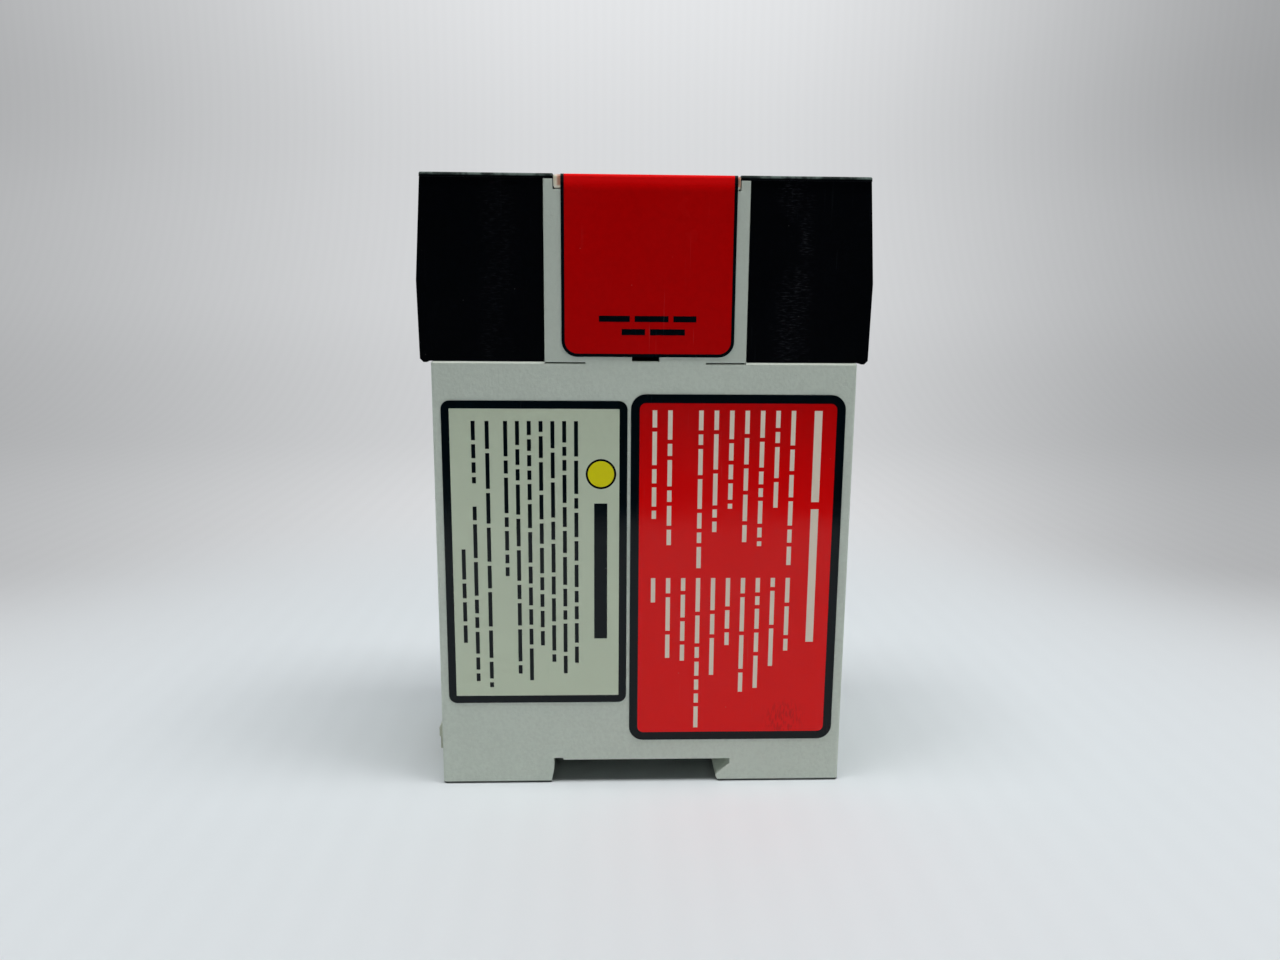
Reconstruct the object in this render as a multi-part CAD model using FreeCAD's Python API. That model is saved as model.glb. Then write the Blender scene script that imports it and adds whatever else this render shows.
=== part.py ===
import FreeCAD, Part
import math
import os
from FreeCAD import Vector

# A safety relay module that snaps on a 35 mm mounting rail, in millimetres.
# X runs across the rail, Y along the rail, and Z from the rail side (z = 0) to the front.
# The origin is the middle of the rail side.

os.makedirs("parts", exist_ok=True)

# ---- outer sizes ----
module_width = 45.0          # along the rail
base_length = 79.6           # grey base, across the rail
base_height = 84.4           # rail side to the top of the grey rim
front_height = 33.6          # black front above the grey rim
belly_overhang = 2.2         # black front past the base at its widest
belly_drop = 19.0            # from the front face down to the widest place
crown_overhang = 1.0
skirt_overhang = 1.95

# ---- grey base ----
base_wall = 2.0
base_floor = 2.0             # between rail slot and inside
corner_radius = 0.6
rim_chamfer = 0.4
foot_chamfer = 0.3

# ---- seat for the mounting rail ----
rail_width = 35.0
rail_edge = 1.0              # thickness of the rail's flange
rail_play = 0.15
slot_height = 4.9
slot_lead = 0.6              # how far the slot's left wall opens at its mouth
slot_lead_height = 2.9
relief_width = 1.85          # corner relief beside the latch
relief_depth = 0.4
hook_reach = 2.9             # rail hook under the flange
hook_tip_height = 1.3
hook_heel = 0.75
hook_tip_radius = 0.5

# ---- rail latch ----
latch_width = 26.0
latch_reach = 2.05           # nose under the flange
latch_thickness = 2.4
latch_floor = 0.9            # moulded skin under the tunnel
latch_play = 0.3
latch_travel = 2.8
tab_height = 8.9             # top of the tab above the rail side
tab_stand_out = 2.2          # tab in front of the base wall
tab_step = 0.25
tab_groove_bottom = 3.0
tab_groove_top = 5.7
tab_slope_height = 1.3
driver_slot_width = 8.0
driver_slot_depth = 0.9
driver_slot_rise = 0.4       # slot's foot above the slider
nose_chamfer = 1.4

# ---- latch spring ----
spring_length = 11.6
spring_width = 2.4
spring_strip = 0.35          # thickness of the bent strip
spring_bends = 6
spring_play = 0.15
spring_window = 3.4
spring_inset = 4.3           # spring from the slot wall
lug_thickness = 1.4

# ---- tongues that hold the front ----
tongue_width = 37.5
tongue_thickness = 2.0
tongue_gap = 0.15            # tongue top to the brim
tongue_root = 3.0            # tongue starts this far under the rim
slit_length = 7.5
slit_height = 0.3
slit_drop = 0.1              # top of the slit under the rim
window_width = 5.1
window_height = 3.6
window_sill = 0.1            # window above the rim
hook_side_play = 0.2
snap_reach = 1.5
snap_top_play = 0.25

# ---- black front ----
front_inset = 0.3            # side faces behind the base's faces
brim_thickness = 0.8
lip_chamfer = 0.65
lip_flat = 0.6
lip_drop = 0.25              # lip under the rim
spigot_depth = 4.0
spigot_wall = 1.2
spigot_play = 0.3
block_length = 19.5          # terminal block, from the base's end inward
block_rise = 5.1             # underside of the blocks above the rim
shelf_thickness = 1.6
front_play = 0.2
front_edge_radius = 0.35

# ---- faceplate and labels ----
face_length = 33.8
face_thickness = 1.4
face_skirt = 2.45
face_edge_radius = 0.5
face_play = 0.15
lug_radius = 0.5
peg_size = 2.4
peg_length = 2.6
peg_spacing = 24.0
foil = 0.15
seal_margin = 0.9            # faceplate left bare on either side
seal_offset = 0.4
seal_rise = 0.9              # foil's lower edge above the rim
seal_radius = 2.9
seal_far_margin = 0.3
label_split = -3.0           # x of the gap between the two side foils
label_gap = 0.65
rating_margin = 1.85         # foil to the base's right edge
rating_foot = 9.1
rating_drop = 6.0            # foil to the rim
rating_radius = 2.8
note_margin = 1.62           # foil to the base's left edge
note_foot = 17.2
note_drop = 7.3
note_radius = 1.5

# ---- terminals ----
terminals_per_row = 5
terminal_share = 6           # pitches in the module's width
upper_row_inset = 14.8       # screws of the upper row, from the base's end
lower_row_inset = 5.8
upper_bar_drop = 10.0        # front face to the underside of the contact bar
lower_bar_drop = 22.0
upper_shaft = 4.2            # driver shaft diameter
lower_shaft = 3.8
cage_width = 5.2
cage_length = 5.4
cage_height = 6.4
cage_wall = 0.8
cage_play = 0.2
cage_top_gap = 1.4           # bar to the cage's roof
screw_diameter = 3.0
screw_stand_out = 1.8        # screw above its cage
screw_sides = 16             # flats that stand for the round of a screw
screw_slot = (0.6, 0.8)
screw_play = 0.1
bar_width = 2.0
bar_thickness = 0.8
tag_play = 0.3
wire_throat = (3.0, 3.6)
wire_mouth = (5.2, 5.6)
wire_drop = 2.0              # wire axis under the bar
mouth_depth = 3.6

# ---- boards and what stands on them ----
board = 1.6
board_play = 0.3
board_rise = 1.6             # front board above the rim
card_drop = 4.4              # rim to the top of the upright boards
card_gap = 1.6               # upright board to the side wall
guide_rib = 1.0
guide_depth = 1.2
guide_stop = 12.0            # guides end under the rim
solder = 0.9
hole_play = 0.2
post_size = 3.0
header_pins = 6
header_pitch = 2.54
header_pin = 0.64
header_body = 2.5
header_drop = 2.0            # header under the board's top edge
relay_size = (12.8, 24.5, 26.0)
relay_count = 4
relay_gap = 1.2
relay_drop = 1.5             # relay under the header
relay_bevel = 0.6
core_size = (32.0, 16.0, 27.0)
core_leg = 10.6
core_yoke = 5.3
coil_overhang = 6.0
coil_play = 0.25
transformer_column = -15.0
transformer_rise = 3.0       # core above the inside floor
capacitor_sizes = {"main": (6.25, 20.0), "output": (5.0, 16.0)}
capacitor_gap = 1.25         # to the heat sink
capacitor_rises = {"main": 11.1, "output": 27.1}
regulator_size = (10.0, 4.4, 15.0)
heat_sink_size = (16.0, 10.0, 25.0)
heat_sink_wall = 1.5
heat_sink_inset = 10.8       # from the inside of the end wall
heat_sink_rise = 3.1         # above the inside floor
regulator_rise = 4.0         # above the heat sink's foot
rectifier_size = (10.0, 8.0, 8.0)
rectifier_rise = 29.1
varistor_radius = 5.0
varistor_thickness = 4.0
varistor_inset = 7.8
varistor_rise = 34.1
fuse_size = (2.6, 20.0)
fuse_column = -8.0
fuse_rise = 36.1
chip_size = (19.0, 3.4, 6.4)
chip_columns = {"logic_chip_1": -18.0, "logic_chip_2": 10.0}
chip_drop = 25.0             # chip's foot under the board's top edge
coupler_size = (4.8, 3.4, 6.4)
coupler_drop = 14.0
coupler_pitch = 11.0
coupler_count = 4
chip_draft = 0.5

# ---- indicators ----
led_count = 4
led_pitch = 8.0
led_column = 9.0
led_size = 2.8
led_height = 1.9
guide_width = 2.6
guide_gap = 0.4
guide_bar = 2.4
guide_play = 0.15

# ---- ventilation slots in the end walls ----
vent_count = 6
vent_pitch = 5.0
vent_width = 1.6
vent_height = 16.0
vent_bottom = 54.0

# ---- worked out from the sizes above ----
half_width = module_width / 2
base_half = base_length / 2
overall_height = base_height + front_height
belly_half = base_half + belly_overhang
belly_height = overall_height - belly_drop
crown_half = base_half + crown_overhang
skirt_half = base_half + skirt_overhang
slot_half = rail_width / 2 + rail_play
flange_under = slot_height - rail_edge - 0.5 * rail_play
inner_half = base_half - base_wall
inner_side = half_width - base_wall
floor_top = slot_height + base_floor
tongue_half = tongue_width / 2
tongue_inner = half_width - tongue_thickness
tongue_top = overall_height - brim_thickness - tongue_gap
face_half = face_length / 2
face_top = overall_height - foil
face_bottom = face_top - face_thickness
skirt_bottom = face_top - face_skirt
cover_side = half_width - front_inset
recess_side = tongue_inner - front_play
spigot_half = inner_half - spigot_play
spigot_side = inner_side - spigot_play
hollow_half = spigot_half - spigot_wall
hollow_side = spigot_side - spigot_wall
shelf_top = face_bottom - face_play
shelf_bottom = shelf_top - shelf_thickness
window_bottom = base_height + window_sill
window_top = window_bottom + window_height
block_inner = base_half - block_length
block_floor = base_height + block_rise
terminal_pitch = module_width / terminal_share
front_board_height = base_height + board_rise
front_board_top = front_board_height + board
card_top = base_height - card_drop
card_side = inner_side - card_gap - board
header_top = card_top - header_drop
relay_foot = header_top - header_body - relay_drop - relay_size[2]
heat_sink_column = inner_half - heat_sink_inset
heat_sink_foot = floor_top + heat_sink_rise
seal_bottom = base_height + seal_rise


def block(x0, x1, y0, y1, z0, z1):
    """A box between two corners."""
    return Part.makeBox(x1 - x0, y1 - y0, z1 - z0, Vector(x0, y0, z0))


def slab(half_x, half_y, z0, z1):
    """A box centred on the Z axis."""
    return block(-half_x, half_x, -half_y, half_y, z0, z1)


def prism(outline, y0, y1):
    """An outline of (x, z) corners, drawn out along Y."""
    corners = [Vector(x, y0, z) for x, z in outline]
    face = Part.Face(Part.makePolygon(corners + corners[:1]))
    return face.extrude(Vector(0, y1 - y0, 0))


def rod(radius, x, y, z0, z1):
    """An upright cylinder."""
    return Part.makeCylinder(radius, z1 - z0, Vector(x, y, z0))


def rod_y(radius, x, z, y0, y1):
    """A cylinder along Y."""
    return Part.makeCylinder(radius, y1 - y0, Vector(x, y0, z), Vector(0, 1, 0))


def both_ends(shape):
    """The shape and its mirror image across the rail."""
    return [shape, shape.mirror(Vector(), Vector(1, 0, 0))]


def both_sides(shape):
    """The shape and its mirror image along the rail."""
    return [shape, shape.mirror(Vector(), Vector(0, 1, 0))]


def edges_where(shape, test):
    """The edges whose two ends both pass a test."""
    return [edge for edge in shape.Edges if all(test(vertex.Point) for vertex in edge.Vertexes)]


def near(a, b):
    return abs(a - b) < 1e-4


def save(node, shape):
    """Write one node to its file."""
    shape = shape.removeSplitter() if len(shape.Solids) == 1 else shape
    if not shape.isValid():
        raise ValueError(node + " is not a valid solid")
    shape.exportStep("parts/" + node + ".step")
    print(node, len(shape.Solids), round(shape.Volume, 1))


# ---- grey base ----

def base_shell():
    """The tub's outside: rounded corners, a chamfered rim and foot."""
    shell = slab(base_half, half_width, 0, base_height)
    upright = [e for e in shell.Edges if not near(e.Vertexes[0].Z, e.Vertexes[1].Z)]
    shell = shell.makeFillet(corner_radius, upright)
    shell = shell.makeChamfer(rim_chamfer, edges_where(shell, lambda p: near(p.z, base_height)))
    return shell.makeChamfer(foot_chamfer, edges_where(shell, lambda p: near(p.z, 0)))


def rail_slot():
    """The slot for the rail: a flared left wall with a relief, and a hook on the right."""
    left = -slot_half
    below = -1.0
    outline = [
        (left - slot_lead, below),
        (left - slot_lead, 0),
        (left, slot_lead_height),
        (left, slot_height + relief_depth),
        (left + relief_width, slot_height + relief_depth),
        (left + relief_width, slot_height),
        (slot_half, slot_height),
        (slot_half, flange_under),
        (slot_half - hook_reach, hook_tip_height),
        (slot_half - hook_reach + hook_heel, 0),
        (slot_half - hook_reach + hook_heel, below),
    ]
    return prism(outline, -half_width - 1, half_width + 1)


def latch_tunnel():
    """The tunnel from the end wall to the rail slot, around the lug that backs the spring."""
    roof = latch_floor + latch_thickness + 2 * latch_play
    side = latch_width / 2 + latch_play
    tunnel = block(-base_half - 1, -slot_half + 0.01, -side, side, latch_floor, roof)
    lug_right = -slot_half - spring_inset - spring_length - 2 * spring_play
    lug_half = spring_width / 2
    lug = block(lug_right - lug_thickness, lug_right, -lug_half, lug_half, 0, roof + 1)
    return tunnel.cut(lug)


def through_wall(x0, x1, z0, z1):
    """A cutter through the +Y side wall."""
    return block(x0, x1, tongue_inner - 1, half_width + 1, z0, z1)


def tongue():
    """One tongue with its slits, hook window and the notch for the faceplate's skirt."""
    root = base_height - tongue_root
    shape = block(-tongue_half, tongue_half, tongue_inner, half_width, root, tongue_top)
    notch_half = face_half + face_play
    notch_bottom = skirt_bottom - face_play
    return shape.cut(through_wall(-notch_half, notch_half, notch_bottom, tongue_top + 1))


def tongue_cuts():
    """The window and the two root slits, through the wall."""
    window = through_wall(-window_width / 2, window_width / 2, window_bottom, window_top)
    slit_top = base_height - slit_drop
    slit = through_wall(tongue_half - slit_length, tongue_half, slit_top - slit_height, slit_top)
    return [window] + both_ends(slit)


def card_guides():
    """Ribs on the end walls that hold the two upright boards."""
    ribs = []
    inner_rib = card_side - board_play / 2 - guide_rib
    outer_rib = card_side + board + board_play / 2
    for y in (inner_rib, outer_rib):
        rib = block(
            inner_half - guide_depth, inner_half + 0.5,
            y, y + guide_rib,
            floor_top - 0.5, base_height - guide_stop,
        )
        ribs += [side for end in both_ends(rib) for side in both_sides(end)]
    return ribs


def vents():
    """Narrow upright slots in the end walls."""
    slots = []
    for i in range(vent_count):
        y = (i - (vent_count - 1) / 2) * vent_pitch
        slot = block(
            inner_half - 1, base_half + 1,
            y - vent_width / 2, y + vent_width / 2,
            vent_bottom, vent_bottom + vent_height,
        )
        slots += both_ends(slot)
    return slots


def base_housing():
    shell = base_shell()
    shell = shell.fuse(both_sides(tongue()))
    hollow = slab(inner_half, inner_side, floor_top, overall_height)
    pocket_left = slot_half + base_wall
    foot_pocket = block(pocket_left, inner_half, -inner_side, inner_side, base_floor, floor_top + 1)
    cuts = [hollow, foot_pocket, rail_slot(), latch_tunnel()]
    for cut in tongue_cuts():
        cuts += both_sides(cut)
    shell = shell.cut(cuts + vents())
    tip_x = slot_half - hook_reach
    tip = edges_where(shell, lambda p: near(p.x, tip_x) and near(p.z, hook_tip_height))
    return shell.makeFillet(hook_tip_radius, tip).fuse(card_guides())


# ---- rail latch ----

def latch_levels():
    bottom = latch_floor + latch_play
    return bottom, bottom + latch_thickness


def rail_latch():
    """A slider with a nose for the rail, a window for the spring and a tab for a screwdriver."""
    bottom, top = latch_levels()
    nose = -slot_half + latch_reach
    inside = -base_half - latch_play
    tab_face = -base_half - tab_stand_out
    outline = [
        (nose, top),
        (nose, top - latch_thickness + nose_chamfer),
        (nose - nose_chamfer, bottom),
        (tab_face + 3 * tab_step, bottom),
        (tab_face + 3 * tab_step, tab_groove_bottom),
        (tab_face + tab_step, tab_groove_bottom),
        (tab_face + tab_step, tab_groove_top),
        (tab_face, tab_groove_top),
        (tab_face, tab_height - tab_slope_height),
        (tab_face + 3 * tab_step, tab_height),
        (inside, tab_height),
        (inside, top),
    ]
    half = latch_width / 2
    slider = prism(outline, -half, half)
    right = -slot_half - spring_inset
    left = right - spring_length - 2 * spring_play - lug_thickness - latch_play
    window = block(left, right, -spring_window / 2, spring_window / 2, bottom - 1, top + 1)
    driver_slot = block(
        inside - driver_slot_depth, inside + 1,
        -driver_slot_width / 2, driver_slot_width / 2,
        top + driver_slot_rise, tab_height + 1,
    )
    return slider.cut([window, driver_slot])


def latch_spring():
    """A spring strip bent to and fro, lying in the latch's window."""
    bottom, top = latch_levels()
    start = -slot_half - spring_inset - spring_play - spring_length
    pitch = (spring_length - spring_strip) / spring_bends
    inner = (pitch - spring_strip) / 2
    outer = inner + spring_strip
    half = spring_width / 2
    pieces = []
    for i in range(spring_bends + 1):
        x = start + i * pitch
        low = bottom if i == 0 else bottom + outer
        high = top if i == spring_bends else top - outer
        pieces.append(block(x, x + spring_strip, -half, half, low, high))
    for i in range(spring_bends):
        x = start + (i + 0.5) * pitch + spring_strip / 2
        z = top - outer if i % 2 == 0 else bottom + outer
        ring = rod_y(outer, x, z, -half, half).cut(rod_y(inner, x, z, -half, half))
        ends = (z, top) if i % 2 == 0 else (bottom, z)
        pieces.append(ring.common(block(x - outer, x + outer, -half, half, *ends)))
    return pieces[0].fuse(pieces[1:])


# ---- black front ----

def front_outline():
    """The black front's end view, right half, from the crown down to the lip."""
    lip = base_height - lip_drop
    return [
        (crown_half, overall_height),
        (belly_half, belly_height),
        (skirt_half, lip + lip_chamfer),
        (skirt_half - lip_chamfer, lip),
        (skirt_half - lip_chamfer - lip_flat, lip),
        (base_half + spigot_play, base_height),
    ]


def front_body():
    """The black outside with its brim."""
    right = front_outline()
    left = [(-x, z) for x, z in reversed(right)]
    body = prism(right + left, -cover_side, cover_side)
    brim_level = overall_height - brim_thickness
    brim = prism(right + left, -half_width, half_width).common(
        slab(belly_half, half_width, brim_level, overall_height)
    )
    body = body.fuse(brim).removeSplitter()
    ends = edges_where(body, lambda p: near(abs(p.x), crown_half) and near(p.z, overall_height))
    return body.makeFillet(front_edge_radius, ends)


def tongue_recess():
    """The flat pockets in which the tongues lie, under the brim."""
    side = tongue_half + front_play
    under_brim = overall_height - brim_thickness
    pocket = block(-side, side, recess_side, half_width + 1, base_height - 1, under_brim)
    return both_sides(pocket)


def face_recess():
    """The step that takes the faceplate, open to both sides."""
    half = face_half + face_play
    top = overall_height + 1
    step = slab(half, half_width + 1, shelf_top, top)
    skirt = block(-half, half, recess_side, half_width + 1, skirt_bottom - face_play, top)
    return [step] + both_sides(skirt)


def snap_hook():
    """A wedge that springs into the tongue's window: square on top, sloped below."""
    half = window_width / 2 - hook_side_play
    top = window_top - snap_top_play
    low = window_bottom + hook_side_play
    outline = [
        Vector(-half, recess_side - 0.5, top),
        Vector(-half, recess_side + snap_reach, top),
        Vector(-half, recess_side + snap_reach, low + snap_reach),
        Vector(-half, recess_side, low),
        Vector(-half, recess_side - 0.5, low),
    ]
    face = Part.Face(Part.makePolygon(outline + outline[:1]))
    return both_sides(face.extrude(Vector(2 * half, 0, 0)))


def spigot():
    """The collar that drops inside the base's rim."""
    low = base_height - spigot_depth
    return slab(spigot_half, spigot_side, low, base_height + 0.5)


def row_values(row):
    """Column, bar height, shaft diameter and stagger of one terminal row."""
    stagger = terminal_pitch / 4
    if row == "upper":
        return base_half - upper_row_inset, overall_height - upper_bar_drop, upper_shaft, stagger
    return base_half - lower_row_inset, overall_height - lower_bar_drop, lower_shaft, -stagger


def terminal_places(row):
    """The y of each terminal in a row."""
    middle = (terminals_per_row - 1) / 2
    shift = row_values(row)[3]
    return [(i - middle) * terminal_pitch + shift for i in range(terminals_per_row)]


def cage_levels(bar_height):
    """Underside and top of a clamp cage, from its bar."""
    top = bar_height + bar_thickness + cage_top_gap + cage_wall
    return top - cage_height, top


def wire_funnel(inner, y, z):
    """The way in for a wire: a square throat that widens to the end face."""
    (throat_y, throat_z), (mouth_y, mouth_z) = wire_throat, wire_mouth
    end = belly_half + 0.5
    throat_end = end - mouth_depth
    throat = block(
        inner, throat_end + 0.01,
        y - throat_y / 2, y + throat_y / 2,
        z - throat_z / 2, z + throat_z / 2,
    )
    mouth = Part.makeWedge(
        -throat_y / 2, 0, -throat_z / 2,
        -mouth_z / 2, -mouth_y / 2,
        throat_y / 2, mouth_depth, throat_z / 2,
        mouth_z / 2, mouth_y / 2,
    )
    mouth.rotate(Vector(), Vector(0, 0, 1), -90)
    mouth.translate(Vector(throat_end, y, z))
    return throat.fuse(mouth)


def terminal_pocket(row, y):
    """What one terminal needs cut out of the right-hand block, open below for assembly."""
    column, bar_height, shaft, _ = row_values(row)
    top = cage_levels(bar_height)[1]
    half_x = cage_length / 2 + cage_play
    half_y = cage_width / 2 + cage_play
    cell = block(
        column - half_x, column + half_x,
        y - half_y, y + half_y,
        block_floor - 1, top + cage_play,
    )
    driver = rod(shaft / 2, column, y, top, overall_height + 1)
    funnel = wire_funnel(column, y, bar_height - wire_drop)
    half_bar = bar_width / 2 + tag_play
    bar_top = bar_height + bar_thickness + tag_play
    bar_start = tag_leg(row) - tag_play
    bar_way = block(bar_start, column, y - half_bar, y + half_bar, block_floor - 1, bar_top)
    return [cell, driver, funnel, bar_way]


def tag_leg(row):
    """|x| of the inner face of a tag's upright leg."""
    if row == "upper":
        return block_inner - tag_play - bar_thickness
    column = row_values(row)[0]
    return column - cage_length / 2 - cage_play - tag_play - 2 * bar_thickness


def board_posts():
    """Corner posts under the blocks that the front board rests against."""
    x = hollow_half + 0.5
    y = hollow_side + 0.5
    post = block(x - post_size, x, y - post_size, y, front_board_top, block_floor + 0.5)
    return [side for end in both_ends(post) for side in both_sides(end)]


def front_housing():
    body = front_body().fuse([spigot()])
    low = base_height - spigot_depth - 1
    hollow = slab(hollow_half, hollow_side, low, block_floor)
    middle = slab(block_inner, hollow_side, block_floor - 1, shelf_bottom)
    cuts = [hollow, middle] + tongue_recess() + face_recess() + indicator_holes() + peg_holes()
    for row in ("upper", "lower"):
        for y in terminal_places(row):
            for pocket in terminal_pocket(row, y):
                cuts += both_ends(pocket)
    return body.cut(cuts).fuse(snap_hook() + board_posts())


# ---- faceplate and foils ----

def pegs(half, bottom):
    """Two square pegs under the faceplate."""
    x = peg_spacing / 2
    return both_ends(block(x - half, x + half, -half, half, bottom, face_bottom + 0.2))


def peg_holes():
    return pegs(peg_size / 2 + face_play, shelf_bottom - 1)


def faceplate():
    plate = slab(face_half, half_width, face_bottom, face_top)
    skirt_inner = tongue_inner + face_play
    skirt = block(-face_half, face_half, skirt_inner, half_width, skirt_bottom, face_top)
    plate = plate.fuse(both_sides(skirt)).removeSplitter()
    lugs = edges_where(plate, lambda p: near(abs(p.x), face_half) and near(p.z, skirt_bottom))
    plate = plate.makeFillet(lug_radius, lugs)
    long_edges = edges_where(plate, lambda p: near(abs(p.y), half_width) and near(p.z, face_top))
    plate = plate.makeFillet(face_edge_radius, long_edges)
    return plate.fuse(pegs(peg_size / 2, face_bottom - peg_length))


def seal_label():
    """A foil that lies on the faceplate, bends over its edge and runs down the tongue."""
    x0 = seal_offset - face_half + seal_margin
    x1 = seal_offset + face_half - seal_margin
    far = half_width - seal_far_margin - face_edge_radius
    front = -half_width - foil
    outside = block(x0, x1, front, far, seal_bottom, overall_height)
    bend = edges_where(outside, lambda p: near(p.y, front) and near(p.z, overall_height))
    outside = outside.makeFillet(face_edge_radius + foil, bend)
    low_edges = edges_where(outside, lambda p: near(p.z, seal_bottom))
    corners = [e for e in low_edges if near(e.Vertexes[0].X, e.Vertexes[1].X)]
    outside = outside.makeFillet(seal_radius, corners)
    inside = block(x0 - 1, x1 + 1, -half_width, half_width + 1, seal_bottom - 1, face_top)
    edge = edges_where(inside, lambda p: near(p.y, -half_width) and near(p.z, face_top))
    return outside.cut(inside.makeFillet(face_edge_radius, edge))


def side_foil(x0, x1, z0, z1, radius):
    """A foil with round corners on the module's side."""
    plate = block(x0, x1, -half_width - foil, -half_width, z0, z1)
    corners = [e for e in plate.Edges if not near(e.Vertexes[0].Y, e.Vertexes[1].Y)]
    return plate.makeFillet(radius, corners)


def rating_label():
    x0 = label_split + label_gap / 2
    top = base_height - rating_drop
    return side_foil(x0, base_half - rating_margin, rating_foot, top, rating_radius)


def note_label():
    x1 = label_split - label_gap / 2
    top = base_height - note_drop
    return side_foil(-base_half + note_margin, x1, note_foot, top, note_radius)


# ---- terminals ----

def clamp_cage(column, bar_height, y):
    """A steel cage that lifts the wire against the bar when its screw turns."""
    low, top = cage_levels(bar_height)
    half_x = cage_length / 2
    half_y = cage_width / 2
    cage = block(column - half_x, column + half_x, y - half_y, y + half_y, low, top)
    inside_y = half_y - cage_wall
    inside = block(
        column - half_x - 1, column + half_x + 1,
        y - inside_y, y + inside_y,
        low + cage_wall, top - cage_wall,
    )
    half = screw_diameter / 2 + screw_play
    opening = block(column - half, column + half, y - half, y + half, top - cage_wall - 1, top + 1)
    return cage.cut([inside, opening])


def clamp_screw(column, bar_height, y):
    """A slotted screw whose tip stands on the bar."""
    foot = bar_height + bar_thickness
    head = cage_levels(bar_height)[1] + screw_stand_out
    radius = screw_diameter / 2
    turns = [2 * math.pi * (i + 0.5) / screw_sides for i in range(screw_sides)]
    corners = [Vector(column + radius * math.cos(a), y + radius * math.sin(a), foot) for a in turns]
    face = Part.Face(Part.makePolygon(corners + corners[:1]))
    screw = face.extrude(Vector(0, 0, head - foot))
    width, depth = screw_slot
    slot = block(
        column - screw_diameter, column + screw_diameter,
        y - width / 2, y + width / 2,
        head - depth, head + 1,
    )
    return screw.cut(slot)


def contact_tag(row, y):
    """A bar through the cage, bent down into the front board."""
    column, bar_height, _, _ = row_values(row)
    leg = tag_leg(row)
    end = column + cage_length / 2
    top = bar_height + bar_thickness
    foot = front_board_height - solder
    outline = [
        (leg, foot),
        (leg + bar_thickness, foot),
        (leg + bar_thickness, bar_height),
        (end, bar_height),
        (end, top),
        (leg, top),
    ]
    return prism(outline, y - bar_width / 2, y + bar_width / 2)


def terminals():
    """Save all cages and all screws as groups, and the tags of the upper and lower rows."""
    cages = []
    screws = []
    for row in ("upper", "lower"):
        column, bar_height, _, _ = row_values(row)
        tags = []
        for y in terminal_places(row):
            cages += both_ends(clamp_cage(column, bar_height, y))
            screws += both_ends(clamp_screw(column, bar_height, y))
            tags += both_ends(contact_tag(row, y))
        save(row + "_contact_tags", Part.makeCompound(tags))
    save("clamp_cages", Part.makeCompound(cages))
    save("clamp_screws", Part.makeCompound(screws))


# ---- boards ----

def header_columns():
    return [(i - (header_pins - 1) / 2) * header_pitch for i in range(header_pins)]


def header_line():
    """|y| of the pins that join an upright board to the front board."""
    return card_side - header_body / 2


def front_board():
    bottom, top = front_board_height, front_board_top
    plate = slab(hollow_half - board_play, hollow_side - board_play, bottom, top)
    holes = []
    for row in ("upper", "lower"):
        leg = tag_leg(row)
        for y in terminal_places(row):
            hole = block(
                leg - hole_play, leg + bar_thickness + hole_play,
                y - bar_width / 2 - hole_play, y + bar_width / 2 + hole_play,
                bottom - 1, top + 1,
            )
            holes += both_ends(hole)
    half = header_pin / 2 + hole_play
    for x in header_columns():
        y = header_line()
        hole = block(x - half, x + half, y - half, y + half, bottom - 1, top + 1)
        holes += both_sides(hole)
    return plate.cut(holes)


def upright_board():
    """The board on the +Y side; its component face looks inward."""
    half = inner_half - board_play
    return block(-half, half, card_side, card_side + board, floor_top + board_play, card_top)


def pin_header():
    """A header on the +Y board whose pins reach through the front board."""
    xs = header_columns()
    half = xs[-1] + header_pitch / 2
    bottom = header_top - header_body
    strip = block(-half, half, card_side - header_body, card_side, bottom, header_top)
    y = header_line()
    p = header_pin / 2
    pin_top = front_board_top + solder
    pins = [block(x - p, x + p, y - p, y + p, bottom, pin_top) for x in xs]
    return strip.fuse(pins)


def mirrored(shape):
    """The same piece on the -Y board."""
    return shape.mirror(Vector(), Vector(0, 1, 0))


def on_logic_board(size, x, z):
    """A box whose back lies on the -Y board; x is its middle and z its foot."""
    width, depth, height = size
    return block(x - width / 2, x + width / 2, -card_side, -card_side + depth, z, z + height)


def sealed_relay(index):
    """A relay in its closed case, with its inner edges bevelled."""
    width, depth, height = relay_size
    x = (index - (relay_count - 1) / 2) * (width + relay_gap)
    inner = card_side - depth
    case = block(x - width / 2, x + width / 2, inner, card_side, relay_foot, relay_foot + height)
    return case.makeChamfer(relay_bevel, edges_where(case, lambda p: near(p.y, inner)))


def transformer():
    """A laminated core with two windows, and the coil on its middle leg."""
    width, depth, height = core_size
    x = transformer_column
    y = -card_side + depth / 2 + coil_overhang
    z = floor_top + transformer_rise
    core = block(x - width / 2, x + width / 2, y - depth / 2, y + depth / 2, z, z + height)
    window_inner = core_leg / 2
    window_outer = width / 2 - core_yoke
    windows = [
        block(x + a, x + b, y - depth, y + depth, z + core_yoke, z + height - core_yoke)
        for a, b in ((-window_outer, -window_inner), (window_inner, window_outer))
    ]
    out = window_outer - coil_play
    deep = depth / 2 + coil_overhang
    low = z + core_yoke + coil_play
    high = z + height - core_yoke - coil_play
    coil = block(x - out, x + out, y - deep, y + deep, low, high)
    inner_edges = edges_where(coil, lambda p: near(p.y, y + deep))
    upright = [e for e in inner_edges if near(e.Vertexes[0].X, e.Vertexes[1].X)]
    coil = coil.makeFillet(core_yoke / 2, upright)
    leg = window_inner + coil_play
    leg_deep = depth / 2 + coil_play
    tunnel = block(x - leg, x + leg, y - leg_deep, y + leg_deep, low - 1, high + 1)
    return core.cut(windows), coil.cut(tunnel)


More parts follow.
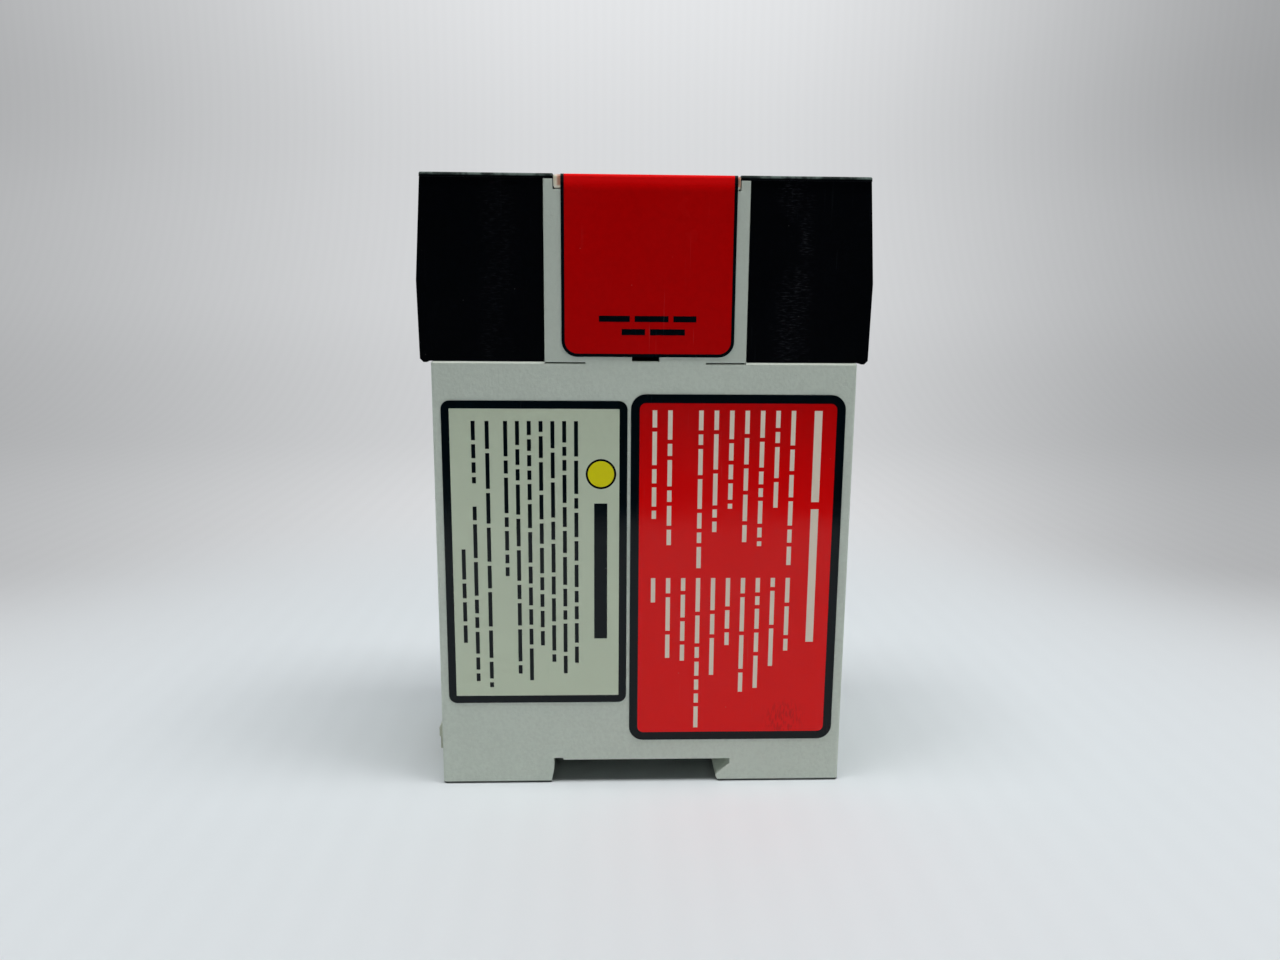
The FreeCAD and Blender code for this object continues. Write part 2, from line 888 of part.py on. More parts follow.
def capacitor(name):
    radius, height = capacitor_sizes[name]
    x = heat_sink_column - heat_sink_size[0] / 2 - capacitor_gap - radius
    z = floor_top + capacitor_rises[name]
    return rod_y(radius, x, z, -card_side, -card_side + height)


def heat_sink():
    """A channel of bent sheet with its web on the board."""
    width, depth, height = heat_sink_size
    x, z = heat_sink_column, heat_sink_foot
    inside = width / 2 - heat_sink_wall
    web = -card_side + heat_sink_wall
    hollow = block(x - inside, x + inside, web, web + depth, z - 1, z + height + 1)
    return on_logic_board(heat_sink_size, x, z).cut(hollow)


def regulator():
    """A power regulator flat on the heat sink's web."""
    body = on_logic_board(regulator_size, heat_sink_column, heat_sink_foot + regulator_rise)
    body.translate(Vector(0, heat_sink_wall, 0))
    return body


def varistor():
    x = -inner_half + varistor_inset
    z = floor_top + varistor_rise
    return rod_y(varistor_radius, x, z, -card_side, -card_side + varistor_thickness)


def fuse_link():
    radius, length = fuse_size
    start = Vector(fuse_column, -card_side + radius, floor_top + fuse_rise)
    return Part.makeCylinder(radius, length, start, Vector(1, 0, 0))


def chip(size, x, z):
    """A moulded chip with its upper edges drafted."""
    body = on_logic_board(size, x, z)
    top = -card_side + size[1]
    return body.makeChamfer(chip_draft, edges_where(body, lambda p: near(p.y, top)))


# ---- indicators ----

def led_places():
    return [(i - (led_count - 1) / 2) * led_pitch for i in range(led_count)]


def lamp_column(half, y, z0, z1):
    """A square upright at one lamp."""
    return block(led_column - half, led_column + half, y - half, y + half, z0, z1)


def led(y):
    """A square lamp on the front board."""
    return lamp_column(led_size / 2, y, front_board_top, front_board_top + led_height)


def indicator_holes():
    half = guide_width / 2 + guide_play
    return [lamp_column(half, y, shelf_bottom - 1, shelf_top + 1) for y in led_places()]


def light_guide():
    """Clear square posts from the lamps to the faceplate, joined by a bar under the shelf."""
    half = guide_width / 2
    foot = front_board_top + led_height + guide_gap
    posts = [lamp_column(half, y, foot, shelf_top) for y in led_places()]
    end = led_places()[-1] + half
    bar = block(led_column - half, led_column + half, -end, end, shelf_bottom - guide_bar, shelf_bottom)
    return bar.fuse(posts)


# ---- write every node ----

save("base_housing", base_housing())
save("rail_latch", rail_latch())
save("latch_spring", latch_spring())
save("front_housing", front_housing())
save("faceplate", faceplate())
save("seal_label", seal_label())
save("rating_label", rating_label())
save("note_label", note_label())
terminals()
save("front_board", front_board())
save("relay_board", upright_board())
save("logic_board", mirrored(upright_board()))
save("relay_header", pin_header())
save("logic_header", mirrored(pin_header()))
for index in range(relay_count):
    save("relay_" + str(index + 1), sealed_relay(index))
core, coil = transformer()
save("transformer_core", core)
save("transformer_coil", coil)
save("main_capacitor", capacitor("main"))
save("output_capacitor", capacitor("output"))
save("heat_sink", heat_sink())
save("regulator", regulator())
save("rectifier", on_logic_board(rectifier_size, heat_sink_column, floor_top + rectifier_rise))
save("varistor", varistor())
save("fuse_link", fuse_link())
for node, column in chip_columns.items():
    save(node, chip(chip_size, column, card_top - chip_drop))
for index in range(coupler_count):
    x = (index - (coupler_count - 1) / 2) * coupler_pitch
    save("optocoupler_" + str(index + 1), chip(coupler_size, x, card_top - coupler_drop))
for index, y in enumerate(led_places()):
    save("indicator_" + str(index + 1), led(y))
save("light_guide", light_guide())
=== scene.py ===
import math
import random

import bmesh
import bpy
from mathutils import Matrix, Vector


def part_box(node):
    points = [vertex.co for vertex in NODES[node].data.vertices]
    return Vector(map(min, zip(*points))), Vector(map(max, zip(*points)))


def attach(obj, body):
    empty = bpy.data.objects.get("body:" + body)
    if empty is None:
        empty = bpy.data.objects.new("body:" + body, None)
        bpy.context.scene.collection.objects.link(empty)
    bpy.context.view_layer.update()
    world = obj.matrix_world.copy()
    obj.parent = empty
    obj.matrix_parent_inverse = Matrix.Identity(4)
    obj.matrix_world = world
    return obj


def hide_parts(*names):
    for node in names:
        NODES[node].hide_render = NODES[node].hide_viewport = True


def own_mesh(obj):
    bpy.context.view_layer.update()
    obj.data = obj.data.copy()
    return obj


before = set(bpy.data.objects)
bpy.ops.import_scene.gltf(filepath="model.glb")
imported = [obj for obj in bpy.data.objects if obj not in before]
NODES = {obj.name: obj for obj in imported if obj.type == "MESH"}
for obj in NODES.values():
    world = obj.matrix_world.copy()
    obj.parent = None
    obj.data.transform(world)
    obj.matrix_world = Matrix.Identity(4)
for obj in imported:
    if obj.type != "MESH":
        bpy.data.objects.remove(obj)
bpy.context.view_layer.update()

bl_info = {
    "name": "Safety Relay Module",
    "version": (1, 0, 0),
    "blender": (4, 5, 0),
    "location": "View3D > Sidebar > Relay",
    "description": "Dresses a rail-mounted safety relay and sets up a plain studio",
    "category": "Object",
}

MM = 0.001
BODY = "module"
SAME_PLACE = 1e-6


def srgb(red, green, blue):
    """A colour written as 0-255 display values, as the shaders want it."""
    linear = []
    for value in (red, green, blue):
        part = value / 255
        linear.append(part / 12.92 if part <= 0.04045 else ((part + 0.055) / 1.055) ** 2.4)
    return (*linear, 1.0)


# ---- what a user would change ----


def colour_setting(name, description, default):
    return bpy.props.FloatVectorProperty(
        name=name, description=description, subtype="COLOR", size=4, min=0, max=1, default=default
    )


def length_setting(name, description, default):
    """A length in metres, written here in millimetres."""
    return bpy.props.FloatProperty(
        name=name, description=description, subtype="DISTANCE", unit="LENGTH",
        min=0, precision=5, default=default * MM,
    )


def angle_setting(name, description, default):
    """An angle, written here in degrees."""
    return bpy.props.FloatProperty(
        name=name, description=description, subtype="ANGLE", unit="ROTATION",
        default=math.radians(default),
    )


def share_setting(name, description, default):
    return bpy.props.FloatProperty(
        name=name, description=description, subtype="FACTOR", min=0, max=1, default=default
    )


class RelayColours(bpy.types.PropertyGroup):
    grey_plastic: colour_setting("Grey Plastic", "Base housing and tongues", srgb(218, 227, 214))
    latch_plastic: colour_setting("Latch Plastic", "Rail latch", srgb(206, 210, 190))
    black_plastic: colour_setting("Black Plastic", "Front housing", srgb(2, 4, 8))
    pale_plastic: colour_setting("Faceplate Plastic", "Plate under the wrap", srgb(246, 233, 210))
    red_ink: colour_setting("Red Ink", "Field of the rating and wrap labels", srgb(202, 3, 5))
    grey_ink: colour_setting("Grey Ink", "Field of the note label", srgb(211, 222, 197))
    black_ink: colour_setting("Black Ink", "Borders and dark print", srgb(3, 14, 20))
    pale_ink: colour_setting("Pale Ink", "Print on red", srgb(255, 239, 220))
    yellow_ink: colour_setting("Yellow Ink", "Round spot on the note label", srgb(248, 238, 26))
    steel: colour_setting("Plated Steel", "Screws and clamp cages", srgb(205, 205, 202))
    tin: colour_setting("Tinned Brass", "Contact tags", srgb(214, 208, 190))
    board: colour_setting("Board", "Solder mask of the circuit boards", srgb(28, 104, 62))


class RelaySizes(bpy.types.PropertyGroup):
    rating_border: length_setting("Rating Border", "Black edge of the rating label", 1.65)
    note_border: length_setting("Note Border", "Black edge of the note label", 1.5)
    wrap_border: length_setting("Wrap Border", "Black edge of the wrap label", 0.6)
    print_relief: length_setting("Print Relief", "How far print stands on a label", 0.02)
    edge_softness: length_setting("Edge Softness", "Radius that moulded edges seem to have", 0.22)
    wear: share_setting("Wear", "How much edges and faces are rubbed", 0.35)
    dust: share_setting("Dust", "How much fine dust lies on the plastics", 0.25)


class RelayStudio(bpy.types.PropertyGroup):
    lamp_power: bpy.props.FloatProperty(
        name="Overhead Lamp", description="Power of the soft lamp above",
        unit="POWER", min=0, default=12.8,
    )
    lamp_width: length_setting("Lamp Width", "Long side of the overhead lamp", 1200)
    lamp_depth: length_setting("Lamp Depth", "Short side of the overhead lamp", 350)
    lamp_height: length_setting("Lamp Height", "Height of the overhead lamp", 1200)
    room_light: bpy.props.FloatProperty(
        name="Room Light", description="Strength of the soft light all round", min=0, default=0.16
    )
    floor_colour: colour_setting("Floor Colour", "Paper under the part", srgb(227, 232, 235))
    lens: bpy.props.FloatProperty(
        name="Focal Length", description="Camera lens",
        subtype="DISTANCE_CAMERA", unit="CAMERA", default=27.52,
    )
    camera_place: bpy.props.FloatVectorProperty(
        name="Camera Place", description="Where the camera stands",
        subtype="TRANSLATION", unit="LENGTH", size=3,
        default=(-7.588 * MM, -205.308 * MM, 96.870 * MM),
    )
    camera_yaw: angle_setting("Camera Yaw", "Turn to the right of straight ahead", 2.101)
    camera_pitch: angle_setting("Camera Pitch", "Tilt below level", 10.775)
    camera_roll: angle_setting("Camera Roll", "Turn about the line of sight", 0.470)


# ---- shader helpers ----

SHARED = {}


def feed(tree, node, inputs):
    """Fill or join the inputs of a node."""
    for name, value in inputs.items():
        if isinstance(value, bpy.types.NodeSocket):
            tree.links.new(value, node.inputs[name])
        else:
            node.inputs[name].default_value = value


def shader_node(tree, kind, inputs=None, **settings):
    """Place one shader node, set it up, and fill or join its inputs."""
    made = tree.nodes.new(kind)
    for name, value in settings.items():
        setattr(made, name, value)
    feed(tree, made, inputs or {})
    return made


def maths(tree, operation, first, second=0.0, clamp=False):
    """One step of arithmetic."""
    settings = {"operation": operation, "use_clamp": clamp}
    return shader_node(tree, "ShaderNodeMath", {0: first, 1: second}, **settings).outputs[0]


def times(tree, *values):
    """The product of several values."""
    product = values[0]
    for value in values[1:]:
        product = maths(tree, "MULTIPLY", product, value)
    return product


def ramp(tree, value, low, high, start=0.0, end=1.0):
    """Map low..high onto start..end, held at both ends."""
    made = shader_node(
        tree, "ShaderNodeMapRange",
        {"Value": value, "From Min": low, "From Max": high, "To Min": start, "To Max": end},
        interpolation_type="SMOOTHSTEP",
    )
    return made.outputs["Result"]


def blend(tree, share, first, second):
    """Mix two colours."""
    inputs = {0: share, 6: first, 7: second}
    made = shader_node(tree, "ShaderNodeMix", inputs, data_type="RGBA", clamp_factor=True)
    return made.outputs[2]


def noise(tree, vector, scale, detail=2.0, roughness=0.5):
    """Cloudy noise around 0.5."""
    made = shader_node(
        tree, "ShaderNodeTexNoise",
        {"Vector": vector, "Scale": scale, "Detail": detail, "Roughness": roughness},
    )
    return made.outputs["Fac"]


def stretch(tree, vector, scale, rotation=(0, 0, 0)):
    """Scale and turn the place that a pattern is read from."""
    inputs = {"Vector": vector, "Scale": scale, "Rotation": rotation}
    return shader_node(tree, "ShaderNodeMapping", inputs).outputs["Vector"]


def axes_of(tree, place):
    """The X, Y and Z of a place."""
    return shader_node(tree, "ShaderNodeSeparateXYZ", {0: place}).outputs


def new_group(name, numbers, **outputs):
    """An empty shader node group that takes a place and some numbers."""
    group = bpy.data.node_groups.new(name, "ShaderNodeTree")
    sockets = group.interface
    sockets.new_socket("Vector", in_out="INPUT", socket_type="NodeSocketVector")
    for label, default in numbers.items():
        made = sockets.new_socket(label, in_out="INPUT", socket_type="NodeSocketFloat")
        made.default_value = default
    for label, kind in outputs.items():
        sockets.new_socket(label, in_out="OUTPUT", socket_type="NodeSocket" + kind)
    entry = group.nodes.new("NodeGroupInput")
    leave = group.nodes.new("NodeGroupOutput")
    return group, entry.outputs, leave


def use_group(tree, maker, place, **values):
    """Place a shared node group, which is built the first time that it is asked for."""
    if maker.__name__ not in SHARED:
        SHARED[maker.__name__] = maker()
    inputs = {"Vector": place, **values}
    return shader_node(tree, "ShaderNodeGroup", inputs, node_tree=SHARED[maker.__name__]).outputs


def moulded_grain():
    """Fine spark-eroded grain and slow colour drift of a moulding; both sizes in millimetres."""
    numbers = {"Grain": 0.3, "Drift": 18.0}
    group, given, out = new_group("moulded_grain", numbers, Height="Float", Tone="Float")
    fine = maths(group, "DIVIDE", 1.0 / MM, given["Grain"])
    slow = maths(group, "DIVIDE", 1.0 / MM, given["Drift"])
    pits = noise(group, given["Vector"], fine, 3.0, 0.6)
    coarse = noise(group, given["Vector"], times(group, fine, 0.3), 2.0)
    feed(group, out, {"Height": maths(group, "ADD", pits, times(group, coarse, 0.5))})
    drift = noise(group, given["Vector"], slow, 4.0, 0.6)
    speckle = maths(group, "SUBTRACT", pits, 0.5)
    drift = maths(group, "ADD", times(group, drift, 0.6), 0.2)
    feed(group, out, {"Tone": maths(group, "ADD", drift, speckle)})
    return group


def rubbed_edges():
    """Where corners are rubbed, and the normal of a slightly rounded edge."""
    numbers = {"Reach": 0.4 * MM, "Amount": 0.5}
    group, given, out = new_group("rubbed_edges", numbers, Mask="Float", Normal="Vector")
    bevel = shader_node(group, "ShaderNodeBevel", {"Radius": given["Reach"]}, samples=6)
    rounded = bevel.outputs["Normal"]
    flat = shader_node(group, "ShaderNodeNewGeometry").outputs["True Normal"]
    dot = shader_node(group, "ShaderNodeVectorMath", {0: rounded, 1: flat}, operation="DOT_PRODUCT")
    bend = maths(group, "SUBTRACT", 1.0, dot.outputs["Value"])
    patchy = ramp(group, noise(group, given["Vector"], 260.0, 4.0, 0.65), 0.42, 0.68)
    mask = times(group, ramp(group, bend, 0.02, 0.22), patchy)
    mask = maths(group, "MULTIPLY", mask, given["Amount"], clamp=True)
    feed(group, out, {"Mask": mask, "Normal": rounded})
    return group


def fine_scuffs():
    """Hairline scratches that mostly run one way."""
    group, given, out = new_group("fine_scuffs", {"Amount": 0.5}, Mask="Float")
    lines = []
    for turn, along in ((0.06, (2600, 2600, 70)), (0.5, (1900, 1900, 110))):
        vector = stretch(group, given["Vector"], along, (0, turn, turn))
        lines.append(ramp(group, noise(group, vector, 1.0, 2.0, 0.4), 0.67, 0.74))
    where = ramp(group, noise(group, given["Vector"], 75.0, 3.0), 0.5, 0.72)
    both = maths(group, "ADD", lines[0], times(group, lines[1], 0.6), clamp=True)
    kept = times(group, both, where)
    feed(group, out, {"Mask": maths(group, "MULTIPLY", kept, given["Amount"], clamp=True)})
    return group


def settled_dust():
    """Fine dust: a thin film on faces that look up, and a few specks anywhere."""
    group, given, out = new_group("settled_dust", {"Amount": 0.3}, Mask="Float")
    normal = shader_node(group, "ShaderNodeNewGeometry").outputs["Normal"]
    upward = ramp(group, axes_of(group, normal)["Z"], 0.3, 0.95)
    film = times(group, upward, noise(group, given["Vector"], 320.0, 5.0, 0.7))
    inputs = {"Vector": given["Vector"], "Scale": 420.0}
    cells = shader_node(group, "ShaderNodeTexVoronoi", inputs, feature="F1")
    chosen = shader_node(group, "ShaderNodeSeparateColor", {0: cells.outputs["Color"]}).outputs[0]
    near = ramp(group, cells.outputs["Distance"], 0.03, 0.07, 1.0, 0.0)
    specks = times(group, near, maths(group, "GREATER_THAN", chosen, 0.86))
    total = maths(group, "ADD", times(group, film, 0.55), specks)
    feed(group, out, {"Mask": maths(group, "MULTIPLY", total, given["Amount"], clamp=True)})
    return group


# ---- materials ----

DUST_GREY = srgb(176, 172, 164)


def new_material(name):
    """A material with its own Principled shader, and the Object coordinates."""
    material = bpy.data.materials.new(name)
    material.use_nodes = True
    tree = material.node_tree
    place = shader_node(tree, "ShaderNodeTexCoord").outputs["Object"]
    return material, tree, shader_of(material), place


def shader_of(material):
    """The Principled shader of a material."""
    return next(n for n in material.node_tree.nodes if n.type == "BSDF_PRINCIPLED")


def place_in(material):
    """A material's tree, and the Object coordinates that it uses."""
    tree = material.node_tree
    return tree, next(n for n in tree.nodes if n.type == "TEX_COORD").outputs["Object"]


def tint(material, share, colour):
    """Blend a colour over what already feeds Base Color."""
    tree = material.node_tree
    socket = shader_of(material).inputs["Base Color"]
    tree.links.new(blend(tree, share, socket.links[0].from_socket, colour), socket)


def shade(colour, amount):
    """The colour times an amount."""
    return (*[min(1.0, part * amount) for part in colour[:3]], 1.0)


def bump(tree, shader, height, distance, normal=None):
    """Give the shader a relief, over the normal that is handed in."""
    inputs = {"Height": height, "Distance": distance, "Strength": 1.0}
    if normal is not None:
        inputs["Normal"] = normal
    feed(tree, shader, {"Normal": shader_node(tree, "ShaderNodeBump", inputs).outputs["Normal"]})


def moulding(name, colour, sizes, roughness, grain, relief, drift, worn, dusty=1.0):
    """A moulded plastic: grain, colour drift, rubbed edges, scuffs and dust.

    Grain and relief are in millimetres, and worn says how much lighter rubbed places are.
    """
    material, tree, shader, place = new_material(name)
    grained = use_group(tree, moulded_grain, place, Grain=grain)
    edges = use_group(tree, rubbed_edges, place, Reach=sizes.edge_softness, Amount=sizes.wear)
    scuffs = use_group(tree, fine_scuffs, place, Amount=sizes.wear)
    dust = use_group(tree, settled_dust, place, Amount=sizes.dust * dusty)
    tone = ramp(tree, grained["Tone"], 0.3, 0.7)
    base = blend(tree, tone, shade(colour, 1 - drift), shade(colour, 1 + drift))
    lighter = tuple(min(1.0, part * worn + 0.015) for part in colour[:3]) + (1.0,)
    marks = maths(tree, "MAXIMUM", edges["Mask"], scuffs["Mask"])
    base = blend(tree, marks, base, lighter)
    base = blend(tree, dust["Mask"], base, DUST_GREY)
    gloss = ramp(tree, noise(tree, place, 60.0, 3.0), 0.3, 0.7, roughness - 0.05, roughness + 0.07)
    gloss = maths(tree, "ADD", gloss, times(tree, dust["Mask"], 0.3), clamp=True)
    feed(tree, shader, {"Base Color": base, "Roughness": gloss})
    bump(tree, shader, grained["Height"], relief * MM, edges["Normal"])
    return material


def printed_film(name, colour, sizes, roughness=0.16, drift=0.03, lift=1.0, gloss=0.24):
    """Ink under a clear film that is not quite flat; lift brightens it low on the part."""
    material, tree, shader, place = new_material(name)
    scuffs = use_group(tree, fine_scuffs, place, Amount=sizes.wear)
    dust = use_group(tree, settled_dust, place, Amount=sizes.dust)
    tone = ramp(tree, noise(tree, place, 900.0, 3.0, 0.6), 0.3, 0.7)
    base = blend(tree, tone, shade(colour, 1 - drift), shade(colour, 1 + drift))
    height = axes_of(tree, place)["Z"]
    base = blend(tree, ramp(tree, height, 0.052, 0.085, 1.0, 0.0), base, shade(colour, lift))
    base = blend(tree, times(tree, scuffs["Mask"], 0.12), base, srgb(190, 180, 178))
    base = blend(tree, times(tree, dust["Mask"], 0.6), base, DUST_GREY)
    haze = noise(tree, place, 45.0, 4.0, 0.6)
    rough = ramp(tree, haze, 0.3, 0.7, roughness - 0.05, roughness + 0.09)
    rough = maths(tree, "ADD", rough, times(tree, scuffs["Mask"], 0.3))
    rough = maths(tree, "ADD", rough, ramp(tree, height, 0.116, 0.1173, 0.0, 0.5), clamp=True)
    feed(tree, shader, {"Base Color": base, "Roughness": rough, "Specular IOR Level": gloss})
    fine = times(tree, noise(tree, place, 700.0), 0.04)
    ripple = maths(tree, "ADD", noise(tree, place, 38.0, 2.0), fine)
    bump(tree, shader, ripple, 0.09 * MM)
    return material


def plated_metal(name, colour, roughness, brushed=(1, 1, 1), worn=0.25):
    """Bright metal with fine brushing, stains and rubbed edges."""
    material, tree, shader, place = new_material(name)
    lines = noise(tree, stretch(tree, place, brushed), 1500.0, 3.0, 0.6)
    stain = ramp(tree, noise(tree, place, 420.0, 4.0, 0.7), 0.35, 0.75)
    edges = use_group(tree, rubbed_edges, place, Reach=0.15 * MM, Amount=worn)
    base = blend(tree, stain, tuple(colour), shade(colour, 0.72))
    base = blend(tree, edges["Mask"], base, shade(colour, 1.3))
    rough = ramp(tree, lines, 0.3, 0.7, roughness - 0.08, roughness + 0.12)
    feed(tree, shader, {"Base Color": base, "Roughness": rough, "Metallic": 1.0})
    bump(tree, shader, lines, 0.002 * MM, edges["Normal"])
    return material


def resin(name, colour, sizes, roughness, clearness):
    """Clear or diffused cast resin."""
    material, tree, shader, place = new_material(name)
    cloud = ramp(tree, noise(tree, place, 500.0, 3.0), 0.3, 0.7)
    base = blend(tree, cloud, shade(colour, 0.93), colour)
    rough = ramp(tree, noise(tree, place, 300.0, 2.0), 0.3, 0.7, roughness * 0.7, roughness * 1.2)
    feed(tree, shader, {"Base Color": base, "Roughness": rough})
    feed(tree, shader, {"Transmission Weight": clearness, "IOR": 1.49})
    edges = use_group(tree, rubbed_edges, place, Reach=0.1 * MM, Amount=sizes.wear)
    bump(tree, shader, noise(tree, place, 900.0), 0.004 * MM, edges["Normal"])
    return material


# ---- geometry helpers ----


def numbered(name):
    """The names of the four like nodes of one kind."""
    return ["%s_%d" % (name, index) for index in range(1, 5)]


def only_verts(items):
    """The vertices of what a bmesh operator gives back."""
    return [item for item in items if isinstance(item, bmesh.types.BMVert)]


def only_faces(items):
    """The faces of what a bmesh operator gives back."""
    return [item for item in items if isinstance(item, bmesh.types.BMFace)]


def each_once(items):
    """The items in their order, without repeats."""
    return list(dict.fromkeys(items))


def verts_of(faces):
    return each_once(vert for face in faces for vert in face.verts)


def edges_of(faces):
    return each_once(edge for face in faces for edge in face.edges)


def faces_of(verts):
    return each_once(face for vert in verts for face in vert.link_faces)


def dress(material, *names):
    """Give a finish to CAD nodes."""
    for name in names:
        mesh = NODES[name].data
        mesh.materials.clear()
        mesh.materials.append(material)


def whole_copy(node):
    """A bmesh copy of a CAD node in its place, with its loose triangles joined."""
    bm = bmesh.new()
    bm.from_mesh(NODES[node].data)
    bmesh.ops.transform(bm, matrix=NODES[node].matrix_world, verts=bm.verts[:])
    bmesh.ops.remove_doubles(bm, verts=bm.verts[:], dist=SAME_PLACE)
    return bm


def solid_boxes(node):
    """The two corners of every separate solid of a CAD node."""
    bm = whole_copy(node)
    seen = set()
    boxes = []
    for first in bm.verts:
        if first in seen:
            continue
        seen.add(first)
        group = [first]
        for vert in group:
            for edge in vert.link_edges:
                other = edge.other_vert(vert)
                if other not in seen:
                    seen.add(other)
                    group.append(other)
        spans = [[vert.co[axis] for vert in group] for axis in range(3)]
        corners = [[pick(span) for span in spans] for pick in (min, max)]
        boxes.append(tuple(Vector(corner) for corner in corners))
    bm.free()
    return boxes


def disc(bm, radius, middle, segments=32):
    """A flat round face that looks up."""
    verts = bmesh.ops.create_circle(bm, cap_ends=True, segments=segments, radius=radius)["verts"]
    bmesh.ops.translate(bm, vec=middle, verts=verts)
    return faces_of(verts)


def raise_faces(bm, faces, height, keep_bottom=True):
    """Extrude flat faces upwards, over a bottom or out of what carries them."""
    geom = [*faces, *edges_of(faces)]
    made = bmesh.ops.extrude_face_region(bm, geom=geom, use_keep_orig=keep_bottom)["geom"]
    bmesh.ops.translate(bm, vec=(0, 0, height), verts=only_verts(made))
    return only_faces(made)


# ---- label sheets ----

INKS = {}


def flat_sheet(bm, x0, x1, z0, z1, y):
    """One upright face that looks towards -Y."""
    made = bmesh.ops.create_grid(bm, x_segments=1, y_segments=1, size=0.5)
    verts = made["verts"]
    bmesh.ops.scale(bm, vec=(x1 - x0, z1 - z0, 1), verts=verts)
    bmesh.ops.rotate(bm, cent=(0, 0, 0), matrix=Matrix.Rotation(math.pi / 2, 3, "X"), verts=verts)
    bmesh.ops.translate(bm, vec=((x0 + x1) / 2, y, (z0 + z1) / 2), verts=verts)
    return verts


def round_corners(bm, corners, radius):
    """Round the given corners of a sheet."""
    bmesh.ops.bevel(
        bm, geom=corners, affect="VERTICES", offset=radius, segments=8, profile=0.5, material=-1
    )


def edge_band(bm, width, outer, inner):
    """Inset the whole sheet: the rim takes one ink and the field another."""
    field = bm.faces[:]
    rim = bmesh.ops.inset_region(
        bm, faces=field, thickness=width, use_even_offset=True, use_boundary=True
    )["faces"]
    for face in field:
        face.material_index = inner
    for face in rim:
        face.material_index = outer


def thicken(bm, thickness):
    """Give a sheet its thickness, away from the side it shows."""
    bm.normal_update()
    made = bmesh.ops.extrude_face_region(bm, geom=bm.faces[:], use_keep_orig=True)
    for vert in only_verts(made["geom"]):
        has_normal = vert.normal.length > 0.5
        vert.co -= vert.normal * thickness if has_normal else Vector((0, -thickness, 0))
    bmesh.ops.recalc_face_normals(bm, faces=bm.faces[:])


def print_bar(bm, low, high, ink):
    """A raised bar of ink between two corners."""
    low, high = Vector(low), Vector(high)
    verts = bmesh.ops.create_cube(bm, size=1.0)["verts"]
    bmesh.ops.scale(bm, vec=high - low, verts=verts)
    bmesh.ops.translate(bm, vec=(low + high) / 2, verts=verts)
    for face in faces_of(verts):
        face.material_index = ink


def word_spans(draw, length, shortest, longest, space):
    """Split a line into spans of uneven length, like the words of a text."""
    spans = []
    start = 0.0
    while start < length:
        end = min(start + draw.uniform(shortest, longest), length)
        if length - end < shortest:
            end = length
        spans.append((start, end))
        start = end + space
    return spans


def print_line(bm, draw, x, top, length, height, plane, ink, words=(1.6, 7.0), space=0.8):
    """A line of word-like bars that runs down the label; all sizes in millimetres."""
    y0, y1 = plane
    for start, end in word_spans(draw, length, *words, space):
        low = ((x - height / 2) * MM, y0, (top - end) * MM)
        high = ((x + height / 2) * MM, y1, (top - start) * MM)
        print_bar(bm, low, high, ink)


def into_scene(bm, name, materials):
    """Turn a bmesh into an object of the scene."""
    mesh = bpy.data.meshes.new(name)
    bm.to_mesh(mesh)
    bm.free()
    for material in materials:
        mesh.materials.append(material)
    made = bpy.data.objects.new(name, mesh)
    bpy.context.scene.collection.objects.link(made)
    return made


def in_fixed_order(bm):
    """The same mesh, its points and faces ordered by place, since a bevel can leave any order."""
    points = sorted(bm.verts, key=lambda vert: vert.co.to_tuple(7))
    rank = {vert: index for index, vert in enumerate(points)}
    faces = []
    for face in bm.faces:
        corners = [rank[vert] for vert in face.verts]
        first = corners.index(min(corners))
        faces.append((corners[first:] + corners[:first], face.material_index))
    ordered = bmesh.new()
    made = [ordered.verts.new(vert.co) for vert in points]
    for corners, ink in sorted(faces):
        ordered.faces.new([made[corner] for corner in corners]).material_index = ink
    bm.free()
    return ordered


def finish_piece(bm, name, materials, replaced):
    """Turn a bmesh into a piece that stands for a CAD node."""
    piece = into_scene(in_fixed_order(bm), name, materials)
    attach(piece, BODY)
    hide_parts(replaced)
    return piece


def red_with_painted_bend_light(colour, sizes):
    """Red film painted brighter where it starts to turn over the top, standing for the light that
    the bend catches.
    """
    material = printed_film("wrap_red_ink", colour, sizes, 0.2, gloss=0.08)
    tree, place = place_in(material)
    axes = axes_of(tree, place)
    # painted light: the top of the front face and a thin band at the front of the top face are
    # painted brighter red
    high_up = ramp(tree, axes["Z"], 0.1148, 0.1172)
    in_front = ramp(tree, axes["Y"], -0.0222, -0.0214, 1.0, 0.0)
    tint(material, times(tree, high_up, in_front), shade(colour, 1.68))
    return material


def thumbed(material):
    """The same ink with a dull thumb mark in the lower right of the rating label."""
    tree, place = place_in(material)
    inputs = {0: place, 1: (0.0283, -0.0227, 0.0135)}
    away = shader_node(tree, "ShaderNodeVectorMath", inputs, operation="DISTANCE").outputs["Value"]
    ridges = ramp(tree, noise(tree, stretch(tree, place, (2.4, 1, 0.6)), 1100.0, 2.0), 0.42, 0.64)
    mark = times(tree, ramp(tree, away, 0.0015, 0.0052, 0.26, 0.0), ridges)
    tint(material, mark, srgb(110, 6, 8))
    return material


def label_inks(context):
    """The inks that all labels share, mixed the first time that they are asked for."""
    if not INKS:
        colours, sizes = context.scene.relay_colours, context.scene.relay_sizes
        INKS.update({
            "black": printed_film("black_ink", colours.black_ink, sizes, 0.09, gloss=0.22),
            "red": thumbed(printed_film("red_ink", colours.red_ink, sizes, 0.1, lift=1.68)),
            "wrap_red": red_with_painted_bend_light(colours.red_ink, sizes),
            "grey": printed_film("grey_ink", colours.grey_ink, sizes, 0.1, drift=0.02, lift=1.09),
            "pale": printed_film("pale_ink", colours.pale_ink, sizes, 0.12),
            "yellow": printed_film("yellow_ink", colours.yellow_ink, sizes, 0.12),
            "window": printed_film("lamp_window_film", srgb(176, 200, 160), sizes, 0.1),
        })
    return INKS


